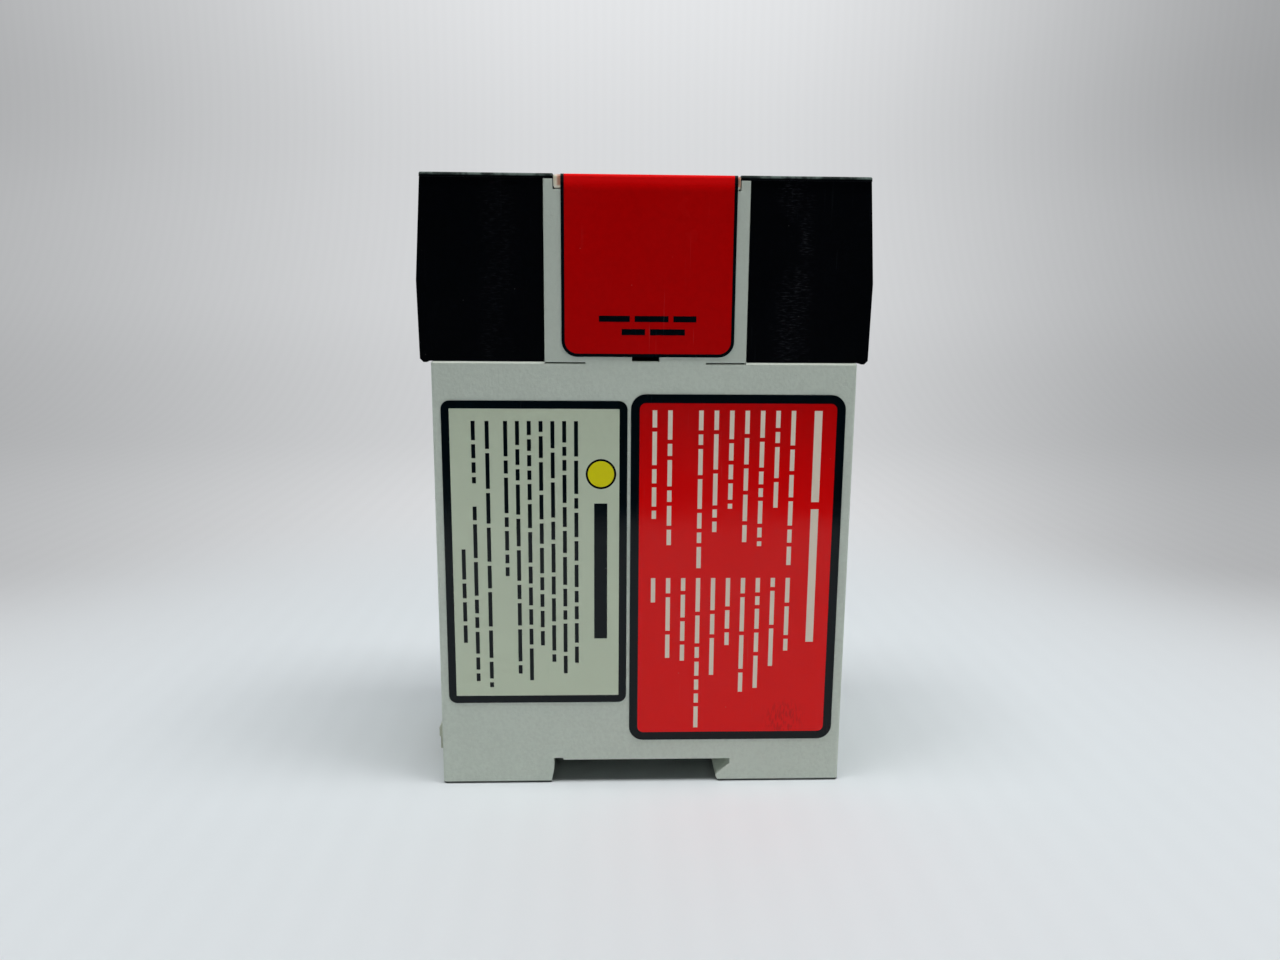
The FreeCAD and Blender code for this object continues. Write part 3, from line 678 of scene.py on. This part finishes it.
def side_label(node, radius, border, relief, print_rows):
    """A flat foil with a black edge, a field and its print."""
    low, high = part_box(node)
    front = low.y + relief
    bm = bmesh.new()
    corners = flat_sheet(bm, low.x, high.x, low.z, high.z, front)
    round_corners(bm, corners, radius)
    edge_band(bm, border, 0, 1)
    thicken(bm, high.y - front)
    print_rows(bm, (low.y, front))
    return bm


def rating_rows(bm, plane):
    """A heading bar and ten short lines in two columns; places and lengths in millimetres."""
    draw = random.Random(11)
    ink = 2
    top = 75.4
    for below, length in ((0, 17.6), (19.0, 26.8)):
        print_line(bm, draw, 32.8, top - below, length, 1.5, plane, ink, (length, length))
    first = (30.1, 18.7, 26.3, 25.5, 18.9, 23.5, 30.7, 0, 26.1, 20.9)
    second = (14.9, 18.1, 22.7, 23.5, 13.7, 19.9, 31.0, 16.9, 16.3, 4.9)
    for index, lengths in enumerate(zip(first, second)):
        x = 28.1 - 2.92 * index
        for below, length in zip((0, 32.7), lengths):
            if length:
                print_line(bm, draw, x, top - below, length, 0.85, plane, ink)


def note_rows(bm, plane):
    """A round spot, a heading bar and a block of short lines; places and lengths in millimetres."""
    draw = random.Random(23)
    ink = 2
    turn = Matrix.Rotation(math.pi / 2, 3, "X")
    for radius, spot_ink, y in ((2.9, 0, plane[0] + 0.006 * MM), (2.5, 3, plane[0])):
        faces = disc(bm, radius * MM, (0, 0, 0), 40)
        verts = verts_of(faces)
        bmesh.ops.rotate(bm, cent=(0, 0, 0), matrix=turn, verts=verts)
        bmesh.ops.translate(bm, vec=(-8.3 * MM, y, 63.2 * MM), verts=verts)
        for face in faces:
            face.material_index = spot_ink
        back = bmesh.ops.extrude_face_region(bm, geom=faces, use_keep_orig=True)["geom"]
        bmesh.ops.translate(bm, vec=(0, plane[1] - y, 0), verts=only_verts(back))
    print_line(bm, draw, -8.35, 57.5, 27.0, 2.5, plane, ink, (27.0, 27.0))
    block = [
        (-13.0 - 2.21 * index, 73.3, length)
        for index, length in enumerate((47.8, 50.0, 47.6, 44.2, 51.4, 50.0, 30.1))
    ]
    ending = [(-29.7, 73.3, 52.8), (-32.3, 73.3, 11.9), (-32.3, 56.9, 35.1), (-34.6, 48.5, 18.8)]
    for x, top, length in block + ending:
        print_line(bm, draw, x, top, length, 0.75, plane, ink)


# ---- operators: one for each piece or group of like pieces ----


class RELAY_OT_housing(bpy.types.Operator):
    """Finish the grey base housing and the rail latch"""

    bl_idname = "relay.housing"
    bl_label = "Base Housing and Latch"

    def execute(self, context):
        colours, sizes = context.scene.relay_colours, context.scene.relay_sizes
        grey = moulding(
            "grey_moulding", colours.grey_plastic, sizes,
            roughness=0.46, grain=0.6, relief=0.095, drift=0.035, worn=1.1,
        )
        self.paint_tongue_and_foot_shade(grey, colours.grey_plastic)
        dress(grey, "base_housing")
        latch = moulding(
            "latch_moulding", colours.latch_plastic, sizes,
            roughness=0.42, grain=0.5, relief=0.01, drift=0.03, worn=1.12,
        )
        dress(latch, "rail_latch")
        self.spring(plated_metal("spring_strip_steel", colours.steel, 0.22, (1, 0.1, 1)))
        return {"FINISHED"}

    def paint_tongue_and_foot_shade(self, grey, colour):
        """Painted shade: the tongues, above the rim, are painted a little darker, and a dark
        painted contact shadow runs along the foot's edge.
        """
        tree, place = place_in(grey)
        height = axes_of(tree, place)["Z"]
        # painted shade: the tongues above the rim are darkened
        tint(grey, ramp(tree, height, 0.0838, 0.0848, 0.0, 0.6), shade(colour, 0.86))
        # painted contact shadow: a dark line along the bottom of the foot
        tint(grey, ramp(tree, height, 0.3 * MM, 0.55 * MM, 0.95, 0.0), srgb(24, 30, 30))

    def spring(self, steel):
        """The bent strip, as a piece with its own mesh."""
        bm = whole_copy("latch_spring")
        strip = finish_piece(bm, "bent_spring_strip", (steel,), "latch_spring")
        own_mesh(strip)


class RELAY_OT_front(bpy.types.Operator):
    """Finish the black front housing and the pale faceplate"""

    bl_idname = "relay.front"
    bl_label = "Front Housing and Faceplate"

    def execute(self, context):
        colours, sizes = context.scene.relay_colours, context.scene.relay_sizes
        dress(self.scuffed_black(colours.black_plastic, sizes), "front_housing")
        dress(self.pale_plate(colours.pale_plastic, sizes), "faceplate")
        return {"FINISHED"}

    def pale_plate(self, colour, sizes):
        """Pale plastic that lets light in; beside the red film a painted reddish-brown shade
        darkens it.
        """
        pale = moulding(
            "faceplate_moulding", colour, sizes,
            roughness=0.35, grain=0.6, relief=0.006, drift=0.03, worn=1.1,
        )
        tree, place = place_in(pale)
        axes = axes_of(tree, place)
        across = maths(tree, "ABSOLUTE", maths(tree, "SUBTRACT", axes["X"], 0.4 * MM))
        # painted shade: a reddish-brown tint on the lugs right beside the red film
        glow = times(
            tree, ramp(tree, across, 0.01635, 0.01685, 1.0, 0.0),
            ramp(tree, axes["Z"], 0.1157, 0.1161),
            ramp(tree, axes["Y"], -0.0215, -0.0205, 1.0, 0.0),
        )
        tint(pale, glow, srgb(214, 156, 130))
        reach = (1.6 * MM, 1.0 * MM, 0.7 * MM)
        feed(tree, shader_of(pale), {"Subsurface Weight": 0.25, "Subsurface Radius": reach})
        feed(tree, shader_of(pale), {"Subsurface Scale": 1.0})
        return pale

    def scuffed_black(self, colour, sizes):
        """Fine-grained black, with a rubbed column on each end and a painted glint along its top
        edges in front and behind.
        """
        black = moulding(
            "black_moulding", colour, sizes,
            roughness=0.5, grain=0.45, relief=0.03, drift=0.18, worn=3.0, dusty=0.25,
        )
        tree, place = place_in(black)
        feed(tree, shader_of(black), {"Specular IOR Level": 0.045})
        axes = axes_of(tree, place)
        across = maths(tree, "ABSOLUTE", axes["X"])
        column = times(
            tree, ramp(tree, across, 0.0222, 0.026), ramp(tree, across, 0.0292, 0.0315, 1.0, 0.0),
            ramp(tree, axes["X"], -0.02, 0.02, 0.45, 1.0),
        )
        streaks = noise(tree, stretch(tree, place, (0.35, 1, 1.5)), 2300.0, 3.0, 0.6)
        clouds = noise(tree, stretch(tree, place, (1, 1, 0.5)), 260.0, 3.0)
        flecks = times(tree, ramp(tree, streaks, 0.46, 0.74), ramp(tree, clouds, 0.36, 0.62))
        tint(black, times(tree, flecks, column, sizes.wear * 1.5), srgb(54, 54, 58))
        # painted highlight: a broken pale glint along the rounded top edges, where light catches
        # them
        painted_glint = times(
            tree, ramp(tree, axes["Z"], 0.1174, 0.1177),
            ramp(tree, maths(tree, "ABSOLUTE", axes["Y"]), 0.0219, 0.0221),
            ramp(tree, noise(tree, place, 420.0, 3.0), 0.4, 0.62, 0.1, 0.55),
        )
        tint(black, painted_glint, srgb(150, 168, 160))
        return black


class RELAY_OT_side_labels(bpy.types.Operator):
    """Build the rating label and the note label on the module's side"""

    bl_idname = "relay.side_labels"
    bl_label = "Side Labels"

    def execute(self, context):
        sizes = context.scene.relay_sizes
        inks = label_inks(context)
        relief = sizes.print_relief
        rating = side_label("rating_label", 2.8 * MM, sizes.rating_border, relief, rating_rows)
        materials = (inks["black"], inks["red"], inks["pale"])
        finish_piece(rating, "rating_foil", materials, "rating_label")
        note = side_label("note_label", 1.6 * MM, sizes.note_border, relief, note_rows)
        materials = (inks["black"], inks["grey"], inks["black"], inks["yellow"])
        finish_piece(note, "note_foil", materials, "note_label")
        return {"FINISHED"}


class RELAY_OT_wrap_label(bpy.types.Operator):
    """Build the red label that covers the faceplate and folds down over the side"""

    bl_idname = "relay.wrap_label"
    bl_label = "Wrap Label"

    bend = 0.62 * MM
    steps = 6

    def execute(self, context):
        sizes = context.scene.relay_sizes
        low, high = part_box("seal_label")
        relief = sizes.print_relief
        front, top = low.y + relief, high.z - relief
        bm = self.folded_sheet(low, high, front, top, sizes.wrap_border)
        self.notice_rows(bm, low.y, front)
        self.lamp_windows(bm, top, high.z)
        inks = label_inks(context)
        materials = [inks[name] for name in ("black", "wrap_red", "pale", "yellow", "window")]
        finish_piece(bm, "wrap_foil", materials, "seal_label")
        return {"FINISHED"}

    def folded_sheet(self, low, high, front, top, border):
        """An upright sheet whose upper part is turned in steps on to the front face."""
        turn = math.pi / 2 / self.steps
        chord = 2 * self.bend * math.sin(turn / 2)
        fold_start = top - self.bend
        length = fold_start + self.steps * chord + (high.y - front - self.bend)
        bm = bmesh.new()
        corners = flat_sheet(bm, low.x, high.x, low.z, length, front)
        round_corners(bm, [vert for vert in corners if vert.co.z < fold_start], 2.9 * MM)
        edge_band(bm, border, 0, 1)
        levels = [fold_start + step * chord for step in range(self.steps + 1)]
        for level in levels:
            bmesh.ops.bisect_plane(
                bm, geom=bm.verts[:] + bm.edges[:] + bm.faces[:], dist=1e-7,
                plane_co=(0, 0, level), plane_no=(0, 0, 1),
            )
        for step, level in reversed(list(enumerate(levels))):
            angle = turn / 2 if step in (0, self.steps) else turn
            beyond = [vert for vert in bm.verts if vert.co.z > level + SAME_PLACE]
            matrix = Matrix.Rotation(-angle, 3, "X")
            bmesh.ops.rotate(bm, cent=(0, front, level), matrix=matrix, verts=beyond)
        thicken(bm, 0.12 * MM)
        return bm

    def notice_rows(self, bm, y0, y1):
        """Two short rows of dark bars low on the folded part."""
        half = 0.55
        for span, z in (((-8.7, 9.3), 92.3), ((-4.5, 7.2), 89.9)):
            draw = random.Random(int(z))
            for start, end in word_spans(draw, span[1] - span[0], 4.0, 8.0, 0.9):
                x = span[0] + start
                low = (x * MM, y0, (z - half) * MM)
                print_bar(bm, low, ((x + end - start) * MM, y1, (z + half) * MM), 0)

    def lamp_windows(self, bm, z0, z1):
        """Clear windows over the lamps, each with a short bar, and a plain writing field."""
        mid = (z0 + z1) / 2
        for name in numbered("indicator"):
            low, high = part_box(name)
            x, y = (low.x + high.x) / 2, (low.y + high.y) / 2
            for half, ink, top in ((1.7 * MM, 0, mid), (1.25 * MM, 4, z1)):
                print_bar(bm, (x - half, y - half, z0), (x + half, y + half, top), ink)
            print_bar(bm, (x - 7.0 * MM, y - 0.4 * MM, z0), (x - 3.0 * MM, y + 0.4 * MM, z1), 2)
        for edge, ink, top in ((0.4 * MM, 0, mid), (0.0, 2, z1)):
            low = (-11.5 * MM - edge, -13 * MM - edge, z0)
            print_bar(bm, low, (-5.5 * MM + edge, 13 * MM + edge, top), ink)


class RELAY_OT_terminals(bpy.types.Operator):
    """Finish the clamp cages, screws and contact tags"""

    bl_idname = "relay.terminals"
    bl_label = "Screw Terminals"

    slot_width = 0.6 * MM
    slot_depth = 0.8 * MM

    def execute(self, context):
        colours = context.scene.relay_colours
        self.screws(plated_metal("plated_screw_steel", colours.steel, 0.3, (1, 1, 0.2)))
        cage = plated_metal("plated_cage_steel", shade(colours.steel, 0.85), 0.34, (0.2, 1, 1))
        dress(cage, "clamp_cages")
        tags = plated_metal("tinned_tag_brass", colours.tin, 0.3, (0.2, 1, 1))
        dress(tags, "upper_contact_tags", "lower_contact_tags")
        return {"FINISHED"}

    def screws(self, steel):
        """Round screws with a broken edge and a driver slot, each in the place of its solid."""
        bm = bmesh.new()
        half_slot = self.slot_width / 2
        for low, high in solid_boxes("clamp_screws"):
            middle = (low + high) / 2
            end = disc(bm, (high.x - low.x) / 2, Vector((middle.x, middle.y, low.z)))
            for side in (-1, 1):
                cut = bmesh.ops.bisect_plane(
                    bm, geom=[*end, *verts_of(end), *edges_of(end)], dist=1e-7,
                    plane_co=(0, middle.y + side * half_slot, 0), plane_no=(0, side, 0),
                )
                end = only_faces(cut["geom"])
            neck = raise_faces(bm, end, high.z - self.slot_depth - low.z)
            halves = [
                face for face in neck if abs(face.calc_center_median().y - middle.y) > half_slot
            ]
            top = raise_faces(bm, halves, self.slot_depth, keep_bottom=False)
            bmesh.ops.bevel(
                bm, geom=edges_of(top), affect="EDGES", offset=0.12 * MM, segments=2,
                profile=0.5, material=-1,
            )
        bmesh.ops.recalc_face_normals(bm, faces=bm.faces[:])
        finish_piece(bm, "round_screws", (steel,), "clamp_screws")


# colour; roughness, grain, relief, drift, worn; nodes
MOULDED_PARTS = {
    "chip_resin": (
        srgb(34, 34, 36), (0.5, 0.2, 0.01, 0.1, 1.6),
        ("logic_header", "relay_header", "logic_chip_1", "logic_chip_2", "regulator", "rectifier",
         *numbered("optocoupler")),
    ),
    "relay_case_plastic": (
        srgb(228, 219, 186), (0.25, 0.8, 0.004, 0.03, 1.1), numbered("relay"),
    ),
    "winding_tape": (srgb(216, 160, 50), (0.3, 1.2, 0.02, 0.08, 1.2), ("transformer_coil",)),
    "capacitor_sleeve": (
        srgb(26, 36, 62), (0.2, 1.0, 0.006, 0.1, 1.5), ("main_capacitor", "output_capacitor"),
    ),
    "varistor_coat": (srgb(36, 84, 170), (0.3, 0.8, 0.02, 0.08, 1.2), ("varistor",)),
}

# colour; roughness, share of light let through; nodes
CAST_PARTS = {
    "fuse_tube_glass": (srgb(235, 240, 240), (0.08, 0.9), ("fuse_link",)),
    "lamp_resin": (srgb(226, 240, 214), (0.35, 0.25), numbered("indicator")),
    "light_guide_resin": (srgb(240, 244, 245), (0.1, 0.9), ("light_guide",)),
}


class RELAY_OT_boards(bpy.types.Operator):
    """Finish the circuit boards and everything that stands on them"""

    bl_idname = "relay.boards"
    bl_label = "Boards and Components"

    def execute(self, context):
        colours, sizes = context.scene.relay_colours, context.scene.relay_sizes
        dress(self.solder_mask(colours, sizes), "front_board", "relay_board", "logic_board")
        for finish, parts in ((moulding, MOULDED_PARTS), (resin, CAST_PARTS)):
            for name, (colour, numbers, nodes) in parts.items():
                dress(finish(name, colour, sizes, *numbers), *nodes)
        dress(self.laminations(), "transformer_core")
        sheet = plated_metal("heat_sink_sheet", srgb(206, 208, 211), 0.35, (1, 1, 0.05))
        dress(sheet, "heat_sink")
        return {"FINISHED"}

    def solder_mask(self, colours, sizes):
        """Green lacquer over traces that show as slightly lighter paths."""
        board = moulding(
            "solder_mask", colours.board, sizes,
            roughness=0.28, grain=0.5, relief=0.01, drift=0.08, worn=1.3,
        )
        tree, place = place_in(board)
        cells = shader_node(
            tree, "ShaderNodeTexVoronoi", {"Vector": place, "Scale": 330.0},
            feature="DISTANCE_TO_EDGE", distance="EUCLIDEAN",
        )
        paths = ramp(tree, cells.outputs["Distance"], 0.09, 0.12, 0.45, 0.0)
        tint(board, paths, shade(colours.board, 1.9))
        return board

    def laminations(self):
        """Stacked core sheets with a thin varnish."""
        core = plated_metal("core_laminations", srgb(92, 92, 96), 0.4, worn=0.4)
        tree, place = place_in(core)
        sheets = shader_node(
            tree, "ShaderNodeTexWave", {"Vector": place, "Scale": 640.0, "Distortion": 0.3},
            wave_type="BANDS", bands_direction="Y",
        )
        tint(core, ramp(tree, sheets.outputs["Fac"], 0.1, 0.35, 0.7, 0.0), srgb(28, 28, 30))
        return core


def glowing(tree, colour, strength, kind="ShaderNodeEmission"):
    """A plain glow of one colour."""
    return shader_node(tree, kind, {"Color": colour, "Strength": strength}).outputs[0]


def mix_shaders(tree, share, first, second):
    """Show the second shader in the given share."""
    return shader_node(tree, "ShaderNodeMixShader", {0: share, 1: first, 2: second}).outputs[0]


class RELAY_OT_studio(bpy.types.Operator):
    """Set up the paper sweep, the soft lamp, the room light and the camera"""

    bl_idname = "relay.studio"
    bl_label = "Studio"

    def execute(self, context):
        studio = context.scene.relay_studio
        self.sweep(studio)
        self.lamp(studio)
        self.room(context, studio)
        self.camera(context, studio)
        context.scene.view_settings.view_transform = "Standard"
        return {"FINISHED"}

    def sweep(self, studio):
        """A floor that curves up into the backdrop."""
        bm = bmesh.new()
        half, front, back, curve, top = 2.6, -2.2, 0.42, 0.3, 1.6
        edge = bm.edges.new([bm.verts.new((x, front, 0)) for x in (-half, half)])
        made = bmesh.ops.extrude_edge_only(bm, edges=[edge])["geom"]
        moved = only_verts(made)
        bmesh.ops.translate(bm, vec=(0, back - front, 0), verts=moved)
        edge = next(item for item in made if isinstance(item, bmesh.types.BMEdge))
        bmesh.ops.spin(
            bm, geom=moved + [edge], cent=(0, back, curve), axis=(1, 0, 0), dvec=(0, 0, 0),
            angle=math.pi / 2, steps=24, use_merge=False, use_duplicate=False,
        )
        rim = [
            edge for edge in bm.edges
            if edge.is_boundary and all(abs(vert.co.z - curve) < 1e-5 for vert in edge.verts)
        ]
        made = bmesh.ops.extrude_edge_only(bm, edges=rim)["geom"]
        bmesh.ops.translate(bm, vec=(0, 0, top - curve), verts=only_verts(made))
        for face in bm.faces:
            face.smooth = True
        bmesh.ops.remove_doubles(bm, verts=bm.verts[:], dist=SAME_PLACE)
        bmesh.ops.recalc_face_normals(bm, faces=bm.faces[:])
        into_scene(bm, "paper_sweep", [self.paper(studio)])

    def paper(self, studio):
        """Matt paper with faint upright ribs, in three layers: the lit paper, a painted glow that
        the camera sees on the far paper, and a painted dark reflection in front.
        """
        material, tree, shader, place = new_material("sweep_paper")
        axes = axes_of(tree, place)
        ribs = shader_node(
            tree, "ShaderNodeTexWave", {"Vector": place, "Scale": 38.0},
            wave_type="BANDS", bands_direction="X",
        ).outputs["Fac"]
        self.paper_surface(tree, shader, place, axes, ribs, tuple(studio.floor_colour))
        # painted light: the camera sees the far paper as a glow whose strength is a painted
        # fall-off
        glow = times(tree, self.painted_backdrop_light(tree, axes), ramp(tree, ribs, 0.0, 1.0, 0.995, 1.005))
        rise = glowing(tree, (0.985, 1.0, 1.02, 1), glow)
        dark = glowing(tree, (0.02, 0.02, 0.02, 1), 1.0)
        path = shader_node(tree, "ShaderNodeLightPath").outputs
        away = shader_node(tree, "ShaderNodeVectorMath", {0: place}, operation="LENGTH")
        seen = times(tree, path["Is Camera Ray"], ramp(tree, away.outputs["Value"], 0.09, 0.27))
        # painted reflection: glossy rays see the paper far in front as dark
        in_front = ramp(tree, axes["Y"], -0.28, -0.225, 1.0, 0.0)
        painted_dark_reflection = times(tree, path["Is Glossy Ray"], in_front)
        both = mix_shaders(tree, seen, shader.outputs[0], rise)
        both = mix_shaders(tree, painted_dark_reflection, both, dark)
        output = next(n for n in tree.nodes if n.type == "OUTPUT_MATERIAL")
        feed(tree, output, {"Surface": both})
        return material

    def paper_surface(self, tree, shader, place, axes, ribs, colour):
        """The lit layer: ribs and grain, and a painted shadow right under the part."""
        grain = noise(tree, place, 900.0, 3.0)
        base = blend(tree, times(tree, ribs, 0.05), colour, shade(colour, 0.8))
        base = blend(tree, times(tree, grain, 0.04), base, shade(colour, 0.8))
        # painted shadow: the paper is darkened under the part's footprint, out to just past the
        # foot's edge
        under = times(
            tree, ramp(tree, maths(tree, "ABSOLUTE", axes["Y"]), 0.0205, 0.0229, 1.0, 0.0),
            ramp(tree, maths(tree, "ABSOLUTE", axes["X"]), 0.034, 0.0404, 1.0, 0.0),
        )
        base = blend(tree, times(tree, under, 0.6), base, shade(colour, 0.05))
        feed(tree, shader, {"Base Color": base, "Roughness": 0.75, "Specular IOR Level": 0.2})

    def painted_backdrop_light(self, tree, axes):
        """Painted light: how pale the camera sees the rising paper, brightest above the part and
        less to the sides, as the light falls off.
        """
        height = ramp(tree, axes["Z"], 0.1, 0.34)
        aside = maths(tree, "DIVIDE", axes["X"], maths(tree, "ADD", axes["Y"], 0.205))
        left = times(
            tree, ramp(tree, aside, -0.78, 0.0, 1.0, 0.0), ramp(tree, height, 0.0, 1.0, 0.37, 0.49)
        )
        right = times(tree, ramp(tree, aside, 0.1, 0.71), ramp(tree, height, 0.0, 1.0, 0.42, 0.54))
        loss = times(
            tree, maths(tree, "ADD", left, right), ramp(tree, axes["Y"], -0.03, 0.14),
            ramp(tree, maths(tree, "ABSOLUTE", aside), 0.75, 1.1, 1.0, 0.0),
        )
        far = ramp(tree, axes["Y"], 0.1, 0.5, 0.775, 0.655)
        level = maths(tree, "ADD", far, ramp(tree, axes["Z"], 0.02, 0.1, 0.0, 0.045))
        level = maths(tree, "ADD", level, ramp(tree, axes["Z"], 0.2, 0.4, 0.0, 0.1))
        return times(tree, maths(tree, "SUBTRACT", 1.0, loss), level)

    def lamp(self, studio):
        """A wide soft lamp overhead."""
        light = bpy.data.lights.new("overhead_softbox", "AREA")
        light.shape = "RECTANGLE"
        light.size = studio.lamp_width
        light.size_y = studio.lamp_depth
        light.energy = studio.lamp_power
        light.color = (1.0, 1.0, 1.0)
        lamp = bpy.data.objects.new("overhead_softbox", light)
        lamp.location = (0.1, -0.15, studio.lamp_height)
        bpy.context.scene.collection.objects.link(lamp)

    def room(self, context, studio):
        """Soft light all round, dim low down in front; the camera sees it as pale as the paper."""
        world = bpy.data.worlds.new("room")
        world.use_nodes = True
        context.scene.world = world
        tree = world.node_tree
        tree.nodes.clear()
        axes = axes_of(tree, shader_node(tree, "ShaderNodeTexCoord").outputs["Generated"])
        ahead = ramp(tree, axes["Y"], -0.75, -0.15, 1.0, 0.0)
        low = ramp(tree, axes["Z"], 0.3, 0.8, 1.0, 0.0)
        dim = ramp(tree, times(tree, ahead, low), 0.0, 1.0, 1.0, 0.06)
        strength = times(tree, dim, studio.room_light)
        lit = glowing(tree, (0.93, 0.97, 1.0, 1), strength, "ShaderNodeBackground")
        seen = glowing(tree, srgb(214, 217, 221), 1.0, "ShaderNodeBackground")
        path = shader_node(tree, "ShaderNodeLightPath").outputs
        both = mix_shaders(tree, path["Is Camera Ray"], lit, seen)
        shader_node(tree, "ShaderNodeOutputWorld", {"Surface": both})

    def camera(self, context, studio):
        """The camera, from its place and its three angles."""
        yaw, pitch, roll = studio.camera_yaw, studio.camera_pitch, studio.camera_roll
        forward = Vector(
            (math.sin(yaw) * math.cos(pitch), math.cos(yaw) * math.cos(pitch), -math.sin(pitch))
        )
        level = Vector((math.cos(yaw), -math.sin(yaw), 0))
        upright = level.cross(forward)
        right = math.cos(roll) * level + math.sin(roll) * upright
        up = -math.sin(roll) * level + math.cos(roll) * upright
        data = bpy.data.cameras.new("bench_camera")
        data.sensor_width = 36.0
        data.lens = studio.lens
        data.clip_start = 0.005
        camera = bpy.data.objects.new("bench_camera", data)
        turn = Matrix((right, up, -forward)).transposed().to_4x4()
        camera.matrix_world = Matrix.Translation(Vector(studio.camera_place)) @ turn
        context.scene.collection.objects.link(camera)
        context.scene.camera = camera


class RELAY_PT_panel(bpy.types.Panel):
    """The relay's steps and settings"""

    bl_label = "Safety Relay Module"
    bl_idname = "RELAY_PT_panel"
    bl_space_type = "VIEW_3D"
    bl_region_type = "UI"
    bl_category = "Relay"

    def draw(self, context):
        layout = self.layout
        for step in STEPS:
            layout.operator(step.bl_idname)
        for group in SETTINGS:
            settings = getattr(context.scene, group)
            box = layout.box()
            for name in settings.__annotations__:
                box.prop(settings, name)


SETTINGS = {"relay_colours": RelayColours, "relay_sizes": RelaySizes, "relay_studio": RelayStudio}
STEPS = (
    RELAY_OT_housing,
    RELAY_OT_front,
    RELAY_OT_side_labels,
    RELAY_OT_wrap_label,
    RELAY_OT_terminals,
    RELAY_OT_boards,
    RELAY_OT_studio,
)


def register():
    for kind in (*SETTINGS.values(), *STEPS, RELAY_PT_panel):
        bpy.utils.register_class(kind)
    for name, kind in SETTINGS.items():
        setattr(bpy.types.Scene, name, bpy.props.PointerProperty(type=kind))


def unregister():
    for name in SETTINGS:
        delattr(bpy.types.Scene, name)
    for kind in reversed((*SETTINGS.values(), *STEPS, RELAY_PT_panel)):
        bpy.utils.unregister_class(kind)


def main():
    register()
    for step in STEPS:
        group, name = step.bl_idname.split(".")
        if getattr(getattr(bpy.ops, group), name)() != {"FINISHED"}:
            raise RuntimeError(step.bl_label + " did not finish")


if __name__ == "__main__":
    main()
